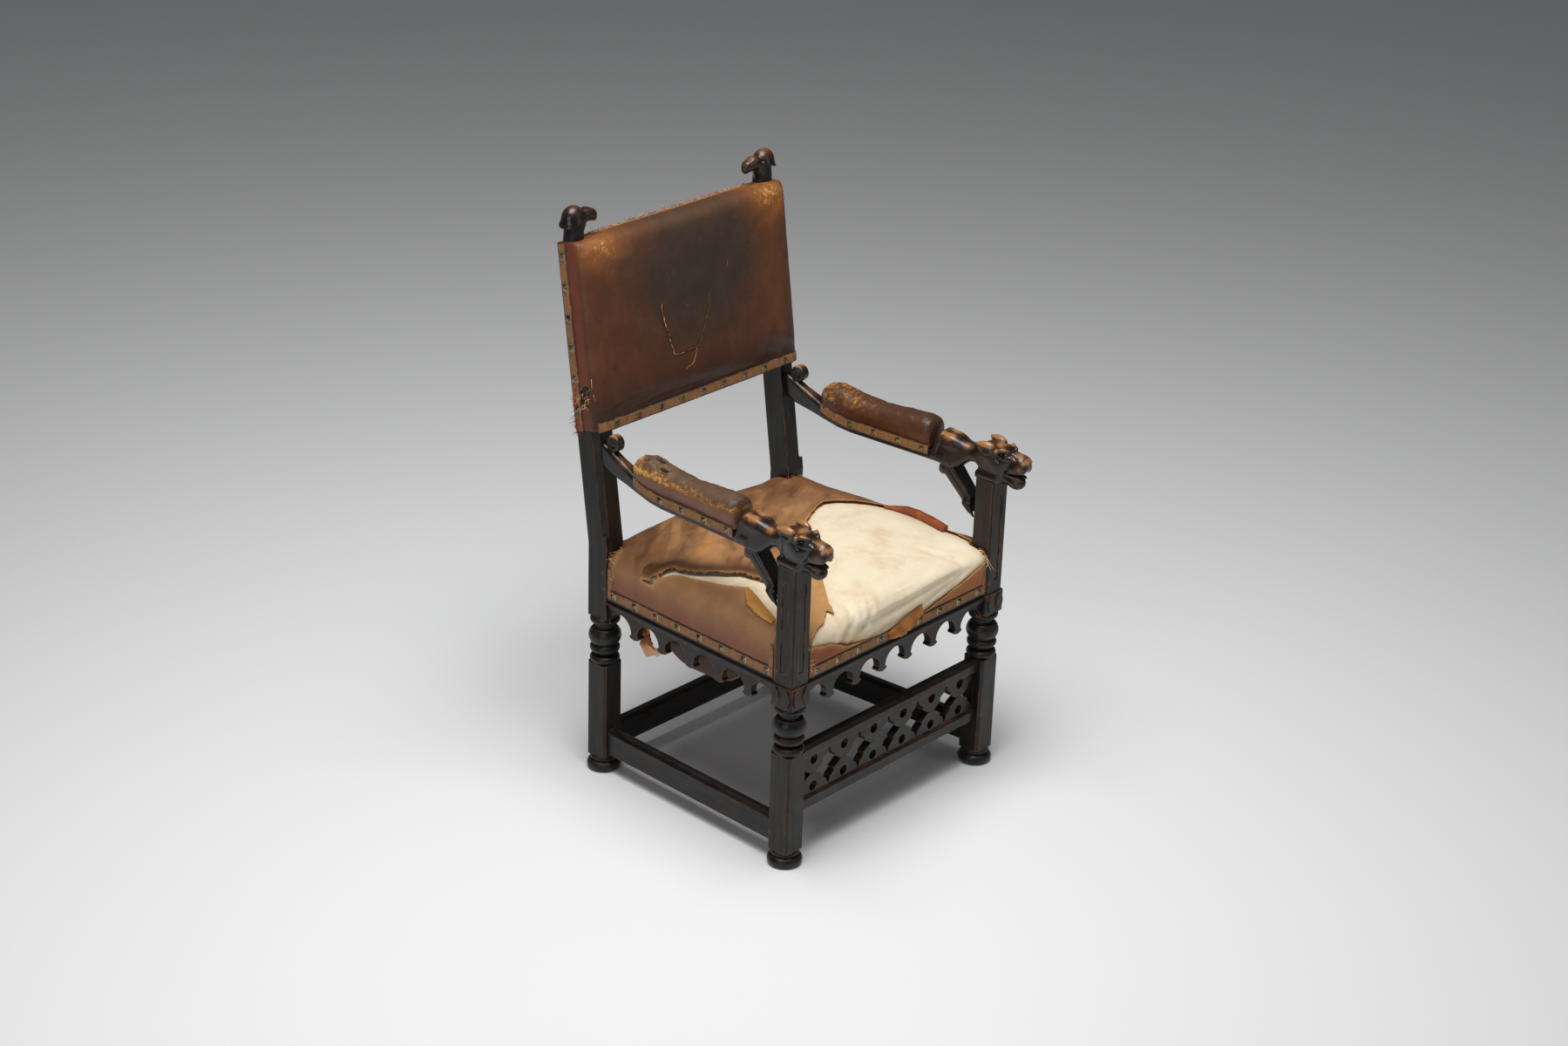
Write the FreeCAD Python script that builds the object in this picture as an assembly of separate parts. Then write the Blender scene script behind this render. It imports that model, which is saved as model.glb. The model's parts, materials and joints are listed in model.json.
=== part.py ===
"""Gothic throne chair: turned and carved frame, beast-headed arms, eagle finials, torn leather covers.

Millimetres, +Z up, front of the chair towards -Y. Each piece of the real chair is its own solid.
Pieces are first built about the middle of the four legs and then moved so that the origin is on the
floor, in the middle of the chair's outline.
"""
import FreeCAD, Part
import math
import os

V = FreeCAD.Vector

# Plan of the four legs, between leg centres
front_leg_spacing = 550.0
rear_leg_spacing = 502.0
leg_depth_spacing = 484.0

# Feet and square leg blocks
foot_radius = 32.5
foot_collar_radius = 27.0
foot_height = 20.0
foot_collar_height = 11.0
block_size = 48.0
block_height = 195.0
block_chamfer = 5.0

# Turned stretch of each leg, from the block upwards: heights, then radii
cushion_height = 16.0
lower_neck_height = 5.0
small_bead_height = 18.0
main_bead_height = 32.0
upper_neck_height = 11.0
ring_height = 14.0
cushion_radius = 28.5
lower_neck_radius = 15.0
small_bead_radius = 28.5
main_bead_radius = 31.0
upper_neck_radius = 18.0
ring_radius = 28.5
bead_swell = 7.0

# Carved capitals and the posts above them
capital_size = 51.0
capital_height = 42.0
capital_chamfer = 3.0
leaf_relief = 2.5
post_size = 45.0
post_height = 229.0
post_chamfer = 4.0
lancet_width = 15.0
lancet_depth = 1.5
lancet_margin = 26.0
rear_post_width = 43.0
rear_post_depth = 47.0
rake_start = 470.0
rake_angle = 8.2
rake_length = 569.0
rear_chamfer_stop = 20.0

# Mortise and tenon joints, pegs and dowels
tenon_thickness = 12.0
tenon_web = 2.5
tenon_shoulder = 8.0
joint_clearance = 0.15
peg_radius = 3.0
dowel_radius = 7.0
dowel_length = 52.0

# Seat rails
rail_thickness = 32.0
rail_height = 76.0
corner_block_leg = 62.0
corner_block_height = 50.0

# Pierced aprons under the seat rails, and their mouldings
apron_thickness = 15.0
apron_setback = 3.0
front_arches = 7
side_arches = 6
arch_crown = 20.0
pendant_neck = 16.0
pendant_flare = 4.5
pendant_drop = 10.0
arch_land = 3.0
moulding_height = 14.0
moulding_depth = 7.0

# Stretchers
stretcher_thickness = 26.0
stretcher_height = 50.0
stretcher_bottom = 40.0
stretcher_bevel = 7.0
tracery_bottom = 98.0
tracery_height = 125.0
tracery_rail_height = 21.0
tracery_thickness = 22.0
tracery_lobes = 6
lobe_hole_radius = 10.0
lobe_hole_inset = 14.0
lobe_tip_gap = 2.0
tracery_bevel = 6.0

# Half the outline of a tracery lobe, from its root to its tip: shares of half its width and of its depth
lobe_outline = ((1.0, 0.0), (0.86, 0.38), (0.6, 0.58), (0.63, 0.7), (0.45, 0.84), (0.2, 1.0))

# Upholstery of the seat
webbing_thickness = 1.5
webbing_width = 50.0
seat_straps_lengthwise = 5
seat_straps_crosswise = 4
strap_overlap = 12.0
hessian_thickness = 1.0
seat_crown_height = 33.0
seat_crown_radius = 1900.0
muslin_thickness = 1.0
leather_thickness = 1.5
layer_gap = 0.2
post_gap = 0.6
muslin_skirt = 40.0
leather_skirt = 70.0
braid_thickness = 1.5
braid_width = 19.0
stud_size = 13.0
stud_height = 4.0
stud_shank_radius = 0.9
stud_shank_length = 12.0
stud_pitch = 57.0
tear_rear = 30.0
tear_left = -215.0
cloth_sag = 42.0
cloth_thickness = 1.5
cloth_inset = 46.0

# Upholstered back, measured along the lean of the rear posts from their bend
back_bottom = 219.0
back_rail_height = 58.0
back_rail_thickness = 30.0
back_edge_radius = 20.0
back_edge_depth = 8.0
back_swell = 9.0
back_straps_upright = 4
back_straps_level = 3
outer_cover_thickness = 1.5

# Arms, measured from the front leg's centre along the side of the seat
arm_width = 46.0
swan_width = 24.0
arm_lift = 4.5
arm_seat_height = 20.0
arm_neck_start = 116.0
pad_front = 130.0
pad_rear = 390.0
pad_height = 61.0
pad_side_height = 30.0
arm_rise_start = 318.0
arm_rise = 15.0
arm_end_rise = 39.0
scroll_radius = 15.0
scroll_width = 18.0
scroll_forward = 25.0
scroll_height = 83.0
arm_tenon_height = 24.0

# Beast heads: heights of their middles are above the front post's top
neck_width = 46.0
neck_depth = 66.0
neck_middle = 33.0
skull_width = 54.0
skull_depth = 70.0
skull_middle = 44.0
snout_reach = 75.0
snout_width = 34.0
snout_depth = 46.0
jaw_width = 40.0
jaw_depth = 24.0
mouth_height = 17.0
mouth_gape = 8.0
ear_radius = 9.0
ear_length = 24.0
ear_height = 60.0
ear_spread = 17.0
brow_radius = 9.0
brow_height = 66.0
brow_spread = 15.0

# Forelegs that prop the arms
foreleg_width = 22.0
foreleg_reach = 118.0
foreleg_drop = 76.0

# Eagle finials
eagle_neck_radius = 20.0
eagle_setback = 3.0
eagle_height = 67.0
eagle_hood_length = 29.0
eagle_hood_width = 22.0
eagle_hood_rim = 24.0
eagle_beak_reach = 54.0
eagle_beak_radius = 14.0
eagle_dowel_radius = 6.0
eagle_dowel_length = 30.0

# Heights that follow from the leg's stack
block_bottom = foot_height + foot_collar_height
block_top = block_bottom + block_height
turning_height = (cushion_height + lower_neck_height + small_bead_height + main_bead_height
                  + upper_neck_height + ring_height)
turning_top = block_top + turning_height
capital_top = turning_top + capital_height
post_top = capital_top + post_height
rail_bottom = capital_top
rail_top = rail_bottom + rail_height
side_rail_top = rail_top + webbing_thickness
arch_apex = rail_bottom - arch_crown
hessian_bottom = side_rail_top + webbing_thickness
padding_bottom = hessian_bottom + hessian_thickness
cover_build = muslin_thickness + leather_thickness + 2.0 * layer_gap
braid_bottom = rail_top - leather_skirt

# Half sizes and places that several pieces share
front_half = front_leg_spacing / 2.0
rear_half = rear_leg_spacing / 2.0
front_y = -leg_depth_spacing / 2.0
rear_y = leg_depth_spacing / 2.0
post_half = post_size / 2.0
block_half = block_size / 2.0
capital_half = capital_size / 2.0
rear_half_width = rear_post_width / 2.0
rear_half_depth = rear_post_depth / 2.0
rail_half = rail_thickness / 2.0
side_run = math.hypot(leg_depth_spacing, front_half - rear_half)
side_turn = math.degrees(math.atan2(leg_depth_spacing, front_half - rear_half))
tall = 4.0 * post_top

# Frames whose X runs along a side of the seat, Y points outwards and Z up
front_frame = FreeCAD.Placement(V(front_half, front_y, 0), FreeCAD.Rotation(V(0, 0, 1), 180))
left_frame = FreeCAD.Placement(V(-front_half, front_y, 0), FreeCAD.Rotation(V(0, 0, 1), side_turn))
rear_frame = FreeCAD.Placement(V(-rear_half, rear_y, 0), FreeCAD.Rotation(V(0, 0, 1), 0))

# Frame of the leaning back: Z along the rear posts from their bend, Y to the rear
back_frame = FreeCAD.Placement(V(0, rear_y, rake_start), FreeCAD.Rotation(V(1, 0, 0), -rake_angle))


# General helpers
def box(x0, x1, y0, y1, z0, z1):
    return Part.makeBox(x1 - x0, y1 - y0, z1 - z0, V(x0, y0, z0))


def placed(shape, frame):
    moved = shape.copy()
    moved.Placement = frame.multiply(moved.Placement)
    return moved


def mirrored(shape):
    return shape.mirror(V(0, 0, 0), V(1, 0, 0))


def joined(shapes):
    return shapes[0].fuse(shapes[1:]).removeSplitter()


def blended(shapes):
    """Carved pieces in one: fused, with their seams left as they are."""
    return shapes[0].fuse(shapes[1:])


def polygon_face(points):
    return Part.Face(Part.makePolygon(points + [points[0]]))


def slab_xy(points, z0, z1):
    return polygon_face([V(x, y, z0) for x, y in points]).extrude(V(0, 0, z1 - z0))


def slab_xz(points, y0, y1):
    return polygon_face([V(x, y0, z) for x, z in points]).extrude(V(0, y1 - y0, 0))


def slab_yz(points, x0, x1):
    return polygon_face([V(x0, y, z) for y, z in points]).extrude(V(x1 - x0, 0, 0))


def spline(points):
    curve = Part.BSplineCurve()
    curve.interpolate(points)
    return curve.toShape()


def line(a, b):
    return Part.LineSegment(a, b).toShape()


def arc(a, b, c):
    return Part.Arc(a, b, c).toShape()


def spread(count, first, last):
    step = (last - first) / (count - 1)
    return [first + step * i for i in range(count)]


def along_pitch(start, end, pitch):
    count = max(2, int((end - start) / pitch) + 1)
    margin = ((end - start) - (count - 1) * pitch) / 2.0
    return [start + margin + pitch * i for i in range(count)]


def envelope(centre_x, centre_y, size_x, size_y):
    return box(centre_x - size_x / 2.0, centre_x + size_x / 2.0,
               centre_y - size_y / 2.0, centre_y + size_y / 2.0, -tall, tall)


# Turned work
def turned_stack(bottom, elements):
    """Solid of revolution from stacked elements: height, side radius and belly radius."""
    edges = []
    z = bottom
    last = V(0, 0, z)
    for height, side, belly in elements:
        start = V(side, 0, z)
        end = V(side, 0, z + height)
        edges.append(line(last, start))
        if belly == side:
            edges.append(line(start, end))
        else:
            edges.append(arc(start, V(belly, 0, z + height / 2.0), end))
        last = end
        z = z + height
    edges.append(line(last, V(0, 0, z)))
    edges.append(line(V(0, 0, z), V(0, 0, bottom)))
    return Part.Face(Part.Wire(edges)).revolve(V(0, 0, 0), V(0, 0, 1), 360)


def leg_turning():
    return turned_stack(block_top, [
        (cushion_height, cushion_radius - bead_swell, cushion_radius),
        (lower_neck_height, lower_neck_radius, lower_neck_radius),
        (small_bead_height, small_bead_radius - bead_swell, small_bead_radius),
        (main_bead_height, main_bead_radius - bead_swell, main_bead_radius),
        (upper_neck_height, upper_neck_radius, upper_neck_radius),
        (ring_height, ring_radius - bead_swell, ring_radius),
    ])


def leg_foot():
    return turned_stack(0.0, [
        (foot_height, foot_radius - bead_swell, foot_radius),
        (foot_collar_height, foot_collar_radius - bead_swell, foot_collar_radius),
    ])


def chamfered_block(size, chamfer, z0, z1):
    h = size / 2.0
    c = chamfer
    corners = [(-h + c, -h), (h - c, -h), (h, -h + c), (h, h - c),
               (h - c, h), (-h + c, h), (-h, h - c), (-h, -h + c)]
    return slab_xy(corners, z0, z1)


def lower_leg():
    return [leg_foot(), chamfered_block(block_size, block_chamfer, block_bottom, block_top), leg_turning()]


# Joinery shared by rails and legs
def rail_tenons(run, near_half, far_half, z0, z1):
    """The two tenons of a rail, as boxes along its own frame."""
    half = tenon_thickness / 2.0
    tip = half + tenon_web
    low = z0 + tenon_shoulder
    high = z1 - tenon_shoulder
    near = (tip, near_half + tenon_shoulder, -half, half, low, high)
    far = (run - far_half - tenon_shoulder, run - tip, -half, half, low, high)
    return [near, far]


def tenon_solid(t):
    return box(*t)


def mortise_solid(t):
    c = joint_clearance
    return box(t[0] - c, t[1] + c, t[2] - c, t[3] + c, t[4] - c, t[5] + c)


def peg_solid(x, z, outer, radius):
    inner = -tenon_thickness / 2.0 - tenon_web
    return Part.makeCylinder(radius, outer - inner, V(x, inner, z), V(0, 1, 0))


def peg_places(tenon, tip, heel, count):
    """Where pegs cross a tenon: at the middle of its length inside the leg."""
    low = tenon[4]
    high = tenon[5]
    return [((tip + heel) / 2.0, low + (high - low) * (i + 0.5) / count) for i in range(count)]


class Rail:
    """A tenoned rail: its frame, run between leg centres, legs' half sizes, heights and pegs."""

    def __init__(self, frame, run, near_half, far_half, z0, z1, pegs, outer):
        self.frame = frame
        self.run = run
        self.tenons = rail_tenons(run, near_half, far_half, z0, z1)
        near, far = self.tenons
        self.places = peg_places(near, near[0], near_half, pegs)
        self.places += peg_places(far, far[1], run - far_half, pegs)
        self.outer = outer

    def solid(self, body, legs):
        shape = placed(body, self.frame)
        for leg in legs:
            shape = shape.cut(leg)
        shape = joined([shape] + [placed(tenon_solid(t), self.frame) for t in self.tenons])
        return shape.cut(self.peg_holes())

    def mortises(self):
        return Part.makeCompound([placed(mortise_solid(t), self.frame) for t in self.tenons])

    def peg_holes(self):
        r = peg_radius + joint_clearance
        return Part.makeCompound([placed(peg_solid(x, z, 2.0 * self.outer, r), self.frame)
                                  for x, z in self.places])

    def pegs(self, legs):
        solids = []
        for x, z in self.places:
            peg = placed(peg_solid(x, z, 2.0 * self.outer, peg_radius), self.frame)
            solids.extend(peg.common(Part.makeCompound(legs)).Solids)
        return solids


seat_front = Rail(front_frame, front_leg_spacing, post_half, post_half, rail_bottom, rail_top, 2, post_half)
seat_rear = Rail(rear_frame, rear_leg_spacing, rear_half_width, rear_half_width,
                 rail_bottom, rail_top, 2, rear_half_depth)
seat_left = Rail(left_frame, side_run, post_half, rear_half_depth, rail_bottom, side_rail_top, 2, post_half)
foot_left = Rail(left_frame, side_run, block_half, block_half,
                 stretcher_bottom, stretcher_bottom + stretcher_height, 1, block_half)
foot_rear = Rail(rear_frame, rear_leg_spacing, block_half, block_half,
                 stretcher_bottom, stretcher_bottom + stretcher_height, 1, block_half)
tracery_low = Rail(front_frame, front_leg_spacing, block_half, block_half,
                   tracery_bottom - tenon_shoulder / 2.0,
                   tracery_bottom + tracery_rail_height + tenon_shoulder / 2.0, 1, block_half)
tracery_high = Rail(front_frame, front_leg_spacing, block_half, block_half,
                    tracery_bottom + tracery_height - tracery_rail_height - tenon_shoulder / 2.0,
                    tracery_bottom + tracery_height + tenon_shoulder / 2.0, 1, block_half)

front_rails = [seat_front, tracery_low, tracery_high]
rear_rails = [seat_rear, foot_rear]
left_rails = [seat_left, foot_left]

# Plain volumes of the four legs, used to trim what meets them
front_post_volume = envelope(-front_half, front_y, post_size, post_size)
front_block_volume = envelope(-front_half, front_y, block_size, block_size)
rear_block_volume = envelope(-rear_half, rear_y, block_size, block_size)
rear_post_volume = envelope(-rear_half, rear_y, rear_post_width, rear_post_depth)


def both(volume):
    return [volume, mirrored(volume)]


# Front legs
def leaf(length, width, relief):
    """A pointed leaf lying on the XZ plane, its stem at the origin, proud towards -Y."""
    tip = V(0, 0, length)
    stem = V(0, 0, 0)
    left_side = arc(stem, V(-width / 2.0, 0, length / 2.0), tip)
    right_side = arc(tip, V(width / 2.0, 0, length / 2.0), stem)
    return Part.Face(Part.Wire([left_side, right_side])).extrude(V(0, -relief, 0))


def capital():
    body = chamfered_block(capital_size, capital_chamfer, turning_top, capital_top)
    length = capital_height - 2.0 * capital_chamfer
    width = capital_half - 3.0 * capital_chamfer
    leaves = []
    for turn in (0, -90):
        for side in (-1, 1):
            blade = leaf(length, width, leaf_relief)
            blade.translate(V(side * capital_half / 2.0, -capital_half, turning_top + capital_chamfer))
            blade.rotate(V(0, 0, 0), V(0, 0, 1), turn)
            leaves.append(blade)
    return joined([body] + leaves)


def lancet(turn):
    """Shallow pointed panel cut into an outer face of a front post."""
    half = lancet_width / 2.0
    low = capital_top + lancet_margin
    high = post_top - lancet_margin
    spring = high - lancet_width
    left_side = arc(V(-half, 0, spring), V(-half * 0.7, 0, spring + lancet_width * 0.55), V(0, 0, high))
    right_side = arc(V(0, 0, high), V(half * 0.7, 0, spring + lancet_width * 0.55), V(half, 0, spring))
    edges = [line(V(-half, 0, low), V(-half, 0, spring)), left_side, right_side,
             line(V(half, 0, spring), V(half, 0, low)), line(V(half, 0, low), V(-half, 0, low))]
    panel = Part.Face(Part.Wire(edges)).extrude(V(0, lancet_depth, 0))
    panel.translate(V(0, -post_half, 0))
    panel.rotate(V(0, 0, 0), V(0, 0, 1), turn)
    return panel


def post_dowel(radius, length):
    return Part.makeCylinder(radius, length, V(-front_half, front_y, post_top - length / 2.0))


def front_left_leg():
    post = chamfered_block(post_size, post_chamfer, capital_top, post_top)
    for turn in (0, -90):
        post = post.cut(lancet(turn))
    leg = joined(lower_leg() + [capital(), post])
    leg.translate(V(-front_half, front_y, 0))
    for rail in front_rails + left_rails:
        leg = leg.cut(rail.mortises())
        leg = leg.cut(rail.peg_holes())
    return leg.cut(post_dowel(dowel_radius + joint_clearance, dowel_length + 2.0 * joint_clearance))


# Rear posts and the leaning back frame
def raked_side():
    """Side outline of a rear post above its turning, in Y and Z about the leg's axis."""
    r = math.radians(rake_angle)
    d = rear_half_depth
    bend = d * math.tan(r / 2.0)

    def leaning(y, z):
        return (y * math.cos(r) + z * math.sin(r), rake_start - y * math.sin(r) + z * math.cos(r))

    return [(-d, turning_top), (d, turning_top), (d, rake_start - bend), leaning(d, rake_length),
            leaning(-d, rake_length), (-d, rake_start + bend)]


def raked_post():
    return slab_yz(raked_side(), -rear_half_width, rear_half_width)


def back_tenon(side, low, high):
    half = tenon_thickness / 2.0
    shoulder = rear_half - rear_half_width
    tip = rear_half - eagle_dowel_radius - tenon_web
    x = sorted((side * (shoulder - tenon_shoulder), side * tip))
    return (x[0], x[1], -half, half, low + tenon_shoulder, high - tenon_shoulder)


back_half = rear_half + rear_half_width
back_front = -rear_half_depth - webbing_thickness - hessian_thickness
back_edge_front = back_front - back_edge_depth
back_middle = (back_bottom + rake_length) / 2.0
rear_chamfer = back_edge_radius - back_edge_depth - webbing_thickness - hessian_thickness
back_top_low = rake_length - back_rail_height
back_low_rail = back_bottom + layer_gap
back_rail_front = -rear_half_depth + webbing_thickness


def back_rail(low):
    high = low + back_rail_height
    inner = rear_half - rear_half_width
    body = box(-inner, inner, back_rail_front, back_rail_front + back_rail_thickness, low, high)
    tenons = [tenon_solid(back_tenon(side, low, high)) for side in (-1, 1)]
    return placed(joined([body] + tenons), back_frame)


def back_mortises(low):
    high = low + back_rail_height
    return placed(mortise_solid(back_tenon(-1, low, high)), back_frame)


def eagle_dowel(radius, length):
    start = rake_length - length
    return placed(Part.makeCylinder(radius, 2.0 * length, V(-rear_half, 0, start)), back_frame)


def outer_chamfer():
    """What is planed off the outer front edge of a rear post, above a stop."""
    x = -back_half
    y = -rear_half_depth
    corner = [(x, y), (x + rear_chamfer, y), (x, y + rear_chamfer)]
    return placed(slab_xy(corner, rear_chamfer_stop, rake_length + rear_chamfer), back_frame)


def rear_left_post():
    post = joined(lower_leg() + [raked_post()])
    post.translate(V(-rear_half, rear_y, 0))
    post = post.cut(outer_chamfer())
    for rail in rear_rails + left_rails:
        post = post.cut(rail.mortises())
        post = post.cut(rail.peg_holes())
    for low in (back_low_rail, back_top_low):
        post = post.cut(back_mortises(low))
    post = post.cut(eagle_dowel(eagle_dowel_radius + joint_clearance, eagle_dowel_length + joint_clearance))
    return post.cut(placed(mortise_solid(arm_tenon()), left_frame))


# Rails around the seat
def seat_rail(rail, legs, top):
    body = box(0, rail.run, -rail_half, rail_half, rail_bottom, top)
    return rail.solid(body, legs)


def corner_block(front):
    """A glued block in the corner between two seat rails, cut round the leg."""
    run = FreeCAD.Vector(rear_half * -1.0 + front_half, leg_depth_spacing, 0)
    run.normalize()
    y = front_y + rail_half if front else rear_y - rail_half
    x = side_line(y, -rail_half)
    step = 1.0 if front else -1.0
    far = V(x, y, 0) + run * (step * corner_block_leg)
    corners = [(x, y), (x + corner_block_leg, y), (far.x, far.y)]
    low = rail_bottom + tenon_shoulder
    solid = slab_xy(corners, low, low + corner_block_height)
    return solid.cut(front_post_volume if front else rear_post_volume)


def side_line(y, out):
    """X of the line that runs beside the left rail, the given way out from its middle."""
    share = (y - front_y) / leg_depth_spacing
    middle = -front_half + (front_half - rear_half) * share
    return middle - out / math.sin(math.radians(side_turn))


# Pierced aprons
def apron_profile(start, end, arches):
    """Outline of an apron in X and Z: round arches between flared, pointed pendants."""
    clear = end - start - 2.0 * arch_land + pendant_neck
    pitch = clear / arches
    radius = (pitch - pendant_neck) / 2.0
    spring = arch_apex - radius
    point = spring - pendant_drop
    flare = pendant_neck / 2.0 + pendant_flare
    edges = []
    last = V(start, 0, rail_bottom)
    here = V(start, 0, spring)
    edges.append(line(last, here))
    for i in range(arches):
        left = start + arch_land + pitch * i
        right = left + 2.0 * radius
        spring_left = V(left, 0, spring)
        spring_right = V(right, 0, spring)
        edges.append(line(here, spring_left))
        edges.append(arc(spring_left, V(left + radius, 0, arch_apex), spring_right))
        here = spring_right
        if i < arches - 1:
            middle = right + pendant_neck / 2.0
            steps = [V(middle - flare, 0, point + pendant_drop * 0.65),
                     V(middle - flare * 0.8, 0, point + pendant_drop * 0.25), V(middle, 0, point),
                     V(middle + flare * 0.8, 0, point + pendant_drop * 0.25),
                     V(middle + flare, 0, point + pendant_drop * 0.65)]
            for step in steps:
                edges.append(line(here, step))
                here = step
    end_low = V(end, 0, spring)
    end_high = V(end, 0, rail_bottom)
    edges.append(line(here, end_low))
    edges.append(line(end_low, end_high))
    edges.append(line(end_high, last))
    return Part.Face(Part.Wire(edges))


def ring_clearance(centre_x, centre_y):
    """Room round the turned ring below a capital."""
    radius = ring_radius + post_gap
    return Part.makeCylinder(radius, turning_top, V(centre_x, centre_y, 0))


def apron(frame, run, near_half, far_half, arches, rings):
    front = rail_half - apron_setback
    face = apron_profile(near_half, run - far_half, arches)
    board = face.extrude(V(0, apron_thickness, 0))
    board.translate(V(0, front - apron_thickness, 0))
    board = placed(board, frame)
    for ring in rings:
        board = board.cut(ring)
    return board


def moulding(frame, run, near_half, far_half):
    """Half-round strip with a fillet, on the apron's face under the seat rail."""
    front = rail_half - apron_setback
    low = rail_bottom - moulding_height
    fillet = moulding_height * 0.25
    edges = [line(V(near_half, front, low), V(near_half, front + fillet, low)),
             line(V(near_half, front + fillet, low), V(near_half, front + fillet, low + fillet)),
             arc(V(near_half, front + fillet, low + fillet),
                 V(near_half, front + moulding_depth, low + (fillet + moulding_height) / 2.0),
                 V(near_half, front + fillet, rail_bottom)),
             line(V(near_half, front + fillet, rail_bottom), V(near_half, front, rail_bottom)),
             line(V(near_half, front, rail_bottom), V(near_half, front, low))]
    strip = Part.Face(Part.Wire(edges)).extrude(V(run - far_half - near_half, 0, 0))
    return placed(strip, frame)


# Stretchers
def plain_stretcher(rail, legs):
    half = stretcher_thickness / 2.0
    low = stretcher_bottom
    high = low + stretcher_height
    section = [(-half, low), (half, low), (half, high - stretcher_bevel), (half - stretcher_bevel, high),
               (stretcher_bevel - half, high), (-half, high - stretcher_bevel)]
    return rail.solid(slab_yz(section, 0, rail.run), legs)


def tracery_board(rail, upper):
    """Half of the pierced front stretcher: a bevelled rail with a row of pierced, cusped lobes."""
    half = tracery_thickness / 2.0
    low = tracery_bottom
    high = low + tracery_height
    middle = (low + high) / 2.0
    if upper:
        edge = high - tracery_rail_height
        section = [(-half, edge), (half, edge), (half, high - tracery_bevel), (half - tracery_bevel, high),
                   (-half, high)]
        tip = middle + lobe_tip_gap / 2.0
    else:
        edge = low + tracery_rail_height
        section = [(-half, low), (half, low), (half, edge - tracery_bevel / 2.0),
                   (half - tracery_bevel / 2.0, edge), (-half, edge)]
        tip = middle - lobe_tip_gap / 2.0
    way = 1.0 if upper else -1.0
    clear = rail.run - 2.0 * block_half
    pitch = clear / tracery_lobes
    root = edge + way * tracery_bevel
    pieces = [slab_yz(section, 0, rail.run)]
    for i in range(tracery_lobes):
        centre = block_half + pitch * (i + 0.5)
        side = [(share * pitch / 2.0, edge + depth * (tip - edge)) for share, depth in lobe_outline]
        outline = [(centre - x, z) for x, z in side] + [(centre + x, z) for x, z in reversed(side)]
        outline += [(centre + pitch / 2.0, root), (centre - pitch / 2.0, root)]
        lobe = slab_xz(outline, -half, half - tracery_bevel)
        hole_z = edge - way * lobe_hole_inset
        hole = Part.makeCylinder(lobe_hole_radius, tracery_thickness, V(centre, -half, hole_z), V(0, 1, 0))
        pieces.append(lobe.cut(hole))
    return rail.solid(joined(pieces), both(front_block_volume))


# Seat upholstery
def seat_plan(grow):
    """Plan of the seat, cut round the four posts, larger by grow than the rails' outer faces."""
    out = rail_half + grow
    notch = cover_build + post_gap - grow
    front_notch = post_half + notch
    rear_notch_x = rear_half_width + notch
    rear_notch_y = rear_half_depth + notch
    left = [(-front_half + front_notch, front_y - out),
            (-front_half + front_notch, front_y + front_notch),
            (side_line(front_y + front_notch, out), front_y + front_notch),
            (side_line(rear_y - rear_notch_y, out), rear_y - rear_notch_y),
            (-rear_half + rear_notch_x, rear_y - rear_notch_y),
            (-rear_half + rear_notch_x, rear_y + out)]
    right = [(-x, y) for x, y in reversed(left)]
    return left + right


def plain_plan(grow):
    """Plan of the seat rails' outer faces, with no notches."""
    out = rail_half + grow
    left = [(side_line(front_y - out, out), front_y - out), (side_line(rear_y + out, out), rear_y + out)]
    return left + [(-x, y) for x, y in reversed(left)]


def seat_crown(grow):
    """The ball whose top gives the seat its crown."""
    top = padding_bottom + seat_crown_height + grow
    radius = seat_crown_radius + grow
    return Part.makeSphere(radius, V(0, 0, top - radius))


def seat_block(grow, bottom):
    return slab_xy(seat_plan(grow), bottom, tall).common(seat_crown(grow))


def seat_padding():
    return seat_block(0.0, padding_bottom)


def seat_hessian():
    return slab_xy(seat_plan(-muslin_thickness), hessian_bottom, padding_bottom)


def seat_layer(inner, outer, bottom):
    shell = seat_block(outer, bottom).cut(seat_block(inner, -tall))
    return shell.cut(slab_xy(plain_plan(inner), -tall, padding_bottom))


def seat_muslin():
    return seat_layer(layer_gap, layer_gap + muslin_thickness, rail_top - muslin_skirt)


leather_inner = 2.0 * layer_gap + muslin_thickness


def seat_tear():
    """Where the leather is torn off: the front band right of the left post and the top behind it."""
    right = front_half
    tear = [(-front_half + post_size + braid_width, front_y - block_size),
            (tear_left, front_y + leg_depth_spacing * 0.3), (tear_left * 0.6, tear_rear),
            (0, leg_depth_spacing * 0.2), (right * 0.6, tear_rear), (right * 0.75, front_y + post_size),
            (right * 0.7, front_y - block_size)]
    return slab_xy(tear, braid_bottom + 1.5 * braid_width, tall)


def seat_leather():
    return seat_layer(leather_inner, cover_build, braid_bottom).cut(seat_tear())


def strap_rows(count, low, high, width):
    return spread(count, low + width, high - width)


def seat_webbing():
    """Two crossing layers of straps, tacked to the tops of the rails."""
    half = webbing_width / 2.0
    inner = rear_half - rail_half
    y0 = front_y - rail_half + strap_overlap / 2.0
    y1 = rear_y + rail_half - strap_overlap / 2.0
    straps = []
    for x in strap_rows(seat_straps_lengthwise, -inner, inner, webbing_width):
        straps.append(box(x - half, x + half, y0, y1, rail_top, side_rail_top))
    low = front_y + rail_half
    high = rear_y - rail_half
    for y in strap_rows(seat_straps_crosswise, low, high, webbing_width):
        reach = -side_line(y + half, rail_half) - strap_overlap / 2.0
        straps.append(box(-reach, reach, y - half, y + half, side_rail_top, hessian_bottom))
    return straps


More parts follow.
